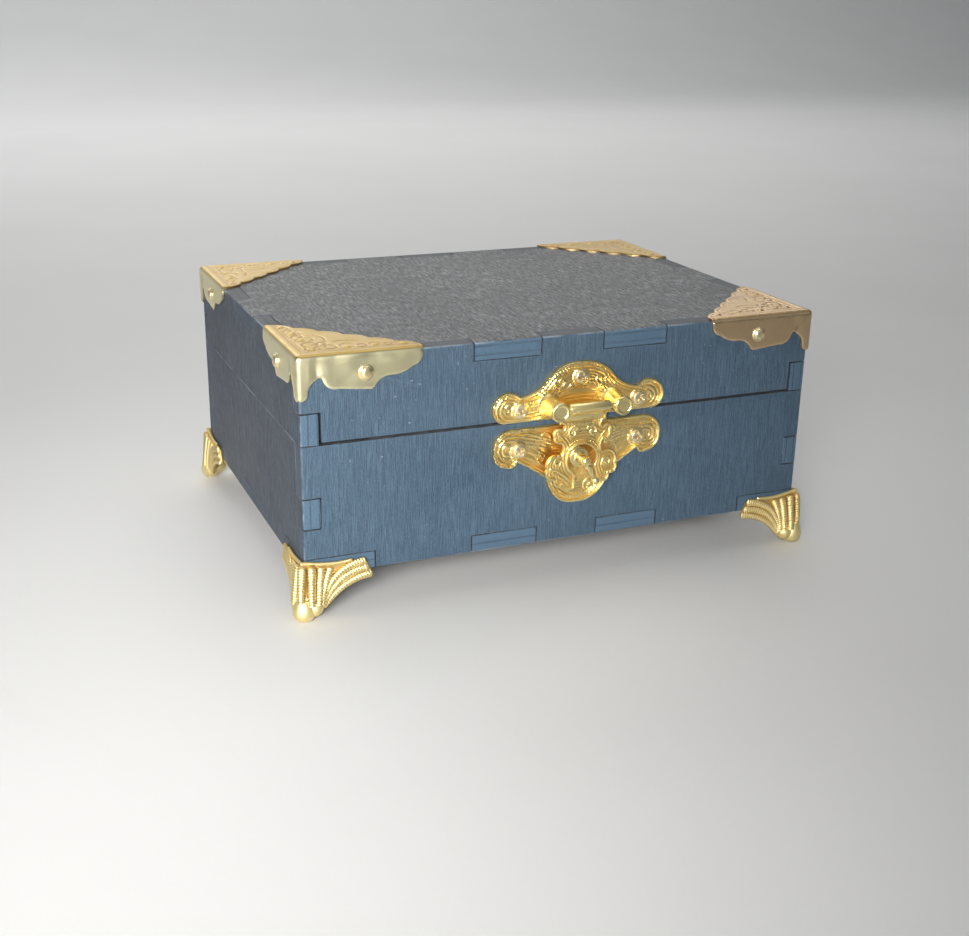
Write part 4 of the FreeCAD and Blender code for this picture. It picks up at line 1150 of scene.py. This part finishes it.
def foot_shell():
    """One cast foot in its own frame: rope ribs fan from a smooth toe over two wings."""
    shell = Shell()
    toe = softened_line([(0, 0), (1.5, 0), (2.5, 0.4), (3.1, 1.7), (3.15, 3.2), (2.8, 4.7),
                         (2.1, 5.9), (1.0, 6.6), (0, 6.8)], 2)
    shell.add(*turned(toe, (TOE_SHIFT, TOE_SHIFT, 0), (0, 0, 1), 40))
    shell.add(*turned(round_profile(3.0, 0, 180, 17, height=3.3), (0.7, 0.7, 4.8), (0, 0, 1), 32))

    def bent(points):
        return np.stack([points[:, 0], -points[:, 1], points[:, 2]], 1)

    spots, first, last, flat = CORNER_RIB
    line = bent(bezier(spots, 110))
    shell.add(*swept(line, np.linspace(first, last, 110), np.array((-0.7, -0.7, 0.1)), LEAN, 14, flat))
    for swap in (False, True):
        order = [1, 0, 2] if swap else [0, 1, 2]
        outward = np.array((0.0, -1.0, 0.0))[order]
        for index, (spots, first, last, flat) in enumerate(RIBS):
            count = 110 if index < 3 else 180
            line = bent(bezier(spots, count))[:, order]
            shell.add(*swept(line, np.linspace(first, last, count), outward, LEAN, 14, flat))
        line = bent(bezier(TOP_LIP, 40))[:, order]
        shell.add(*swept(line, np.full(40, 0.5), outward, 0, 10))
        for along, out, up, size in LOBES:
            shell.add(*turned(round_profile(size, 0, 180, 15), np.array((along, -out, up))[order],
                              (0, 0, 1), 24))
        top = bezier(RIBS[3][0], 40)[:, [0, 2]]
        low = bezier(RIBS[5][0], 40)[:, [0, 2]]
        lip = bezier(TOP_LIP, 40)[:, [0, 2]]
        rim = [(-1.2, 4.0)] + [tuple(spot) for spot in lip[lip[:, 0] < 10.8]]
        rim += [tuple(spot) for spot in top[top[:, 0] > 12.5]]
        rim += [tuple(spot) for spot in low[::-1]]
        loop = evened(np.array(rim), 0.6)

        def lift(points, rise, order=order):
            spread = 0.1 * (np.clip(points[:, 0], 0, None) / 18) ** 2
            swell = 1.0 * smooth(15.0 - points[:, 1], 0.0, 11.0)
            out = WING_BACK + spread + rise + np.where(rise > 0, swell, 0)
            return np.stack([points[:, 0], -out, points[:, 1]], 1)[:, order]

        # The web between the ribs gets a low level: painted shade.
        shell.leaf(loop, 0.7, lift, lambda points: np.full(len(points), 0.55),
                   lambda _, rise: np.full(len(rise), 0.25))
    return shell


def shelf_loop():
    corner = np.array((LEFT, FRONT)) / MM
    return outline("foot_front_left", Z, 1, UNDER / MM) - corner


feet = foot_shell()
SHELF = 1.2
shelf_outline = evened(shelf_loop(), 1.0)
feet.leaf(shelf_outline, 1.5,
          lambda points, rise: np.stack([points[:, 0], points[:, 1], UNDER / MM - SHELF + rise], 1),
          lambda points: np.full(len(points), SHELF), lambda _, rise: np.full(len(rise), 0.5))
for where in CORNERS:
    node = f"foot_{where}"
    feet.stand_in(node + "_cast", node, "cast_gilt", 50, matrix=corner_frame(where, 0))


# ------------------------------------------------- hinges and hidden lock

def softened(node, material, width):
    """A CAD node's own shape with its sharp edges eased."""
    bm = cad_mesh(node)
    join_faces(bm)
    bmesh.ops.bevel(bm, geom=sharp_edges(bm), offset=width, segments=2, profile=0.5, affect="EDGES")
    relief = bm.verts.layers.float.new("relief")
    for vert in bm.verts:
        vert[relief] = 1.0
    stand_in(bm, node + "_eased", node, material, 32)


for side in ("left", "right"):
    for part in ("base_leaf", "lid_leaf", "pin"):
        softened(f"hinge_{side}_{part}", MATERIALS["hinge_brass"], 0.12 * MM)
for node, letter in (("lock_guide_left", "x"), ("lock_guide_right", "x"), ("lid_keeper", "z"),
                     ("lock_slider", "x"), ("slider_peg", "z")):
    softened(node, MATERIALS[f"bare_wood_{letter}"], 0.25 * MM)


# --------------------------------------------------------- camera and light

FOCAL = 49.79
SENSOR = 36.0
EYE_OFFSET = Vector((-84.54, -320.39, 152.65)) * MM
FORWARD = Vector((0.36821, 0.86374, -0.34405))
ROLL = math.radians(0.98)


def make_camera():
    data = bpy.data.cameras.new("camera")
    data.lens = FOCAL
    data.sensor_width = SENSOR
    data.clip_start = 0.01
    data.clip_end = 20
    item = bpy.data.objects.new("camera", data)
    bpy.context.scene.collection.objects.link(item)
    forward = FORWARD.normalized()
    level = forward.cross(Vector((0, 0, 1))).normalized()
    up = level.cross(forward)
    right = level * math.cos(ROLL) + up * math.sin(ROLL)
    up = right.cross(forward)
    turn = Matrix((right, up, -forward)).transposed()
    item.matrix_world = Matrix.Translation(WALL_LOW + EYE_OFFSET) @ turn.to_4x4()
    bpy.context.scene.camera = item


def area_light(name, where, target, width, height, power, tint, spread=180):
    data = bpy.data.lights.new(name, "AREA")
    data.shape = "RECTANGLE"
    data.size = width
    data.size_y = height
    data.energy = power
    data.color = tint
    data.spread = math.radians(spread)
    item = bpy.data.objects.new(name, data)
    bpy.context.scene.collection.objects.link(item)
    item.location = where
    item.rotation_euler = (Vector(target) - Vector(where)).to_track_quat("-Z", "Y").to_euler()
    item.visible_camera = False


def make_room():
    """A pale sweep of floor that curves up far behind."""
    profile = [(-12.0, 0.0), (1.4, 0.0)]
    profile += [(1.4 + 1.2 * math.sin(angle), 1.2 - 1.2 * math.cos(angle))
                for angle in np.radians(np.linspace(5, 90, 18))] + [(2.6, 3.0)]
    mesh = bpy.data.meshes.new("floor")
    verts = [(side, along, up) for along, up in profile for side in (-12.0, 12.0)]
    faces = [(2 * row, 2 * row + 1, 2 * row + 3, 2 * row + 2) for row in range(len(profile) - 1)]
    mesh.from_pydata(verts, [], faces)
    mesh.shade_smooth()
    floor = bpy.data.objects.new("floor", mesh)
    bpy.context.scene.collection.objects.link(floor)
    g = Graph(bpy.data.materials.new("pale_floor"))
    where = g.add("ShaderNodeTexCoord").outputs["Object"]
    g.paint(Base_Color=g.mix(g.noise(where, 8, 2), (0.50, 0.50, 0.495), (0.54, 0.54, 0.535)), Roughness=0.6)
    dress(floor, g.owner)


def make_sky():
    """A soft grey surround, paler overhead."""
    g = Graph(bpy.data.worlds.new("studio"), "Background")
    split = g.add("ShaderNodeSeparateXYZ", {0: g.add("ShaderNodeTexCoord").outputs["Generated"]})
    ramp = g.add("ShaderNodeValToRGB", {0: g.remap(split.outputs["Z"], -1.0, 1.0)})
    shades = ((0.48, (0.16, 0.17, 0.19, 1.0)), (0.95, (0.75, 0.77, 0.80, 1.0)))
    for stop, (place, shade) in zip(ramp.color_ramp.elements, shades):
        stop.position = place
        stop.color = shade
    g.paint(Color=ramp.outputs[0], Strength=0.42)
    bpy.context.scene.world = g.owner


def light_up():
    area_light("key", (-0.30, -0.43, 0.19), (-0.07, 0, 0.01), 0.24, 0.18, 0.66, (1.0, 0.985, 0.96), 56)
    area_light("fill", (0.5, -0.9, 0.5), (0, 0, 0.03), 0.6, 0.6, 0.2, (0.95, 0.97, 1.0))
    area_light("back", (0.40, 1.3, 0.8), (0, 0, 0.06), 1.4, 0.6, 4.2, (1.0, 0.99, 0.97))
    area_light("rear", (-0.25, 1.5, 1.0), (0, 0, 0.04), 1.2, 0.8, 4.0, (0.97, 0.98, 1.0))
    area_light("over", (0.1, 0.2, 1.1), (0, 0, 0.05), 1.0, 0.8, 3.8, (1.0, 0.99, 0.96))
    area_light("backdrop", (0.0, 0.9, 1.6), (0, 2.5, 0.9), 2.0, 0.8, 30, (1.0, 1.0, 1.0))
    bpy.context.scene.view_settings.view_transform = "Standard"


make_camera()
make_room()
make_sky()
light_up()
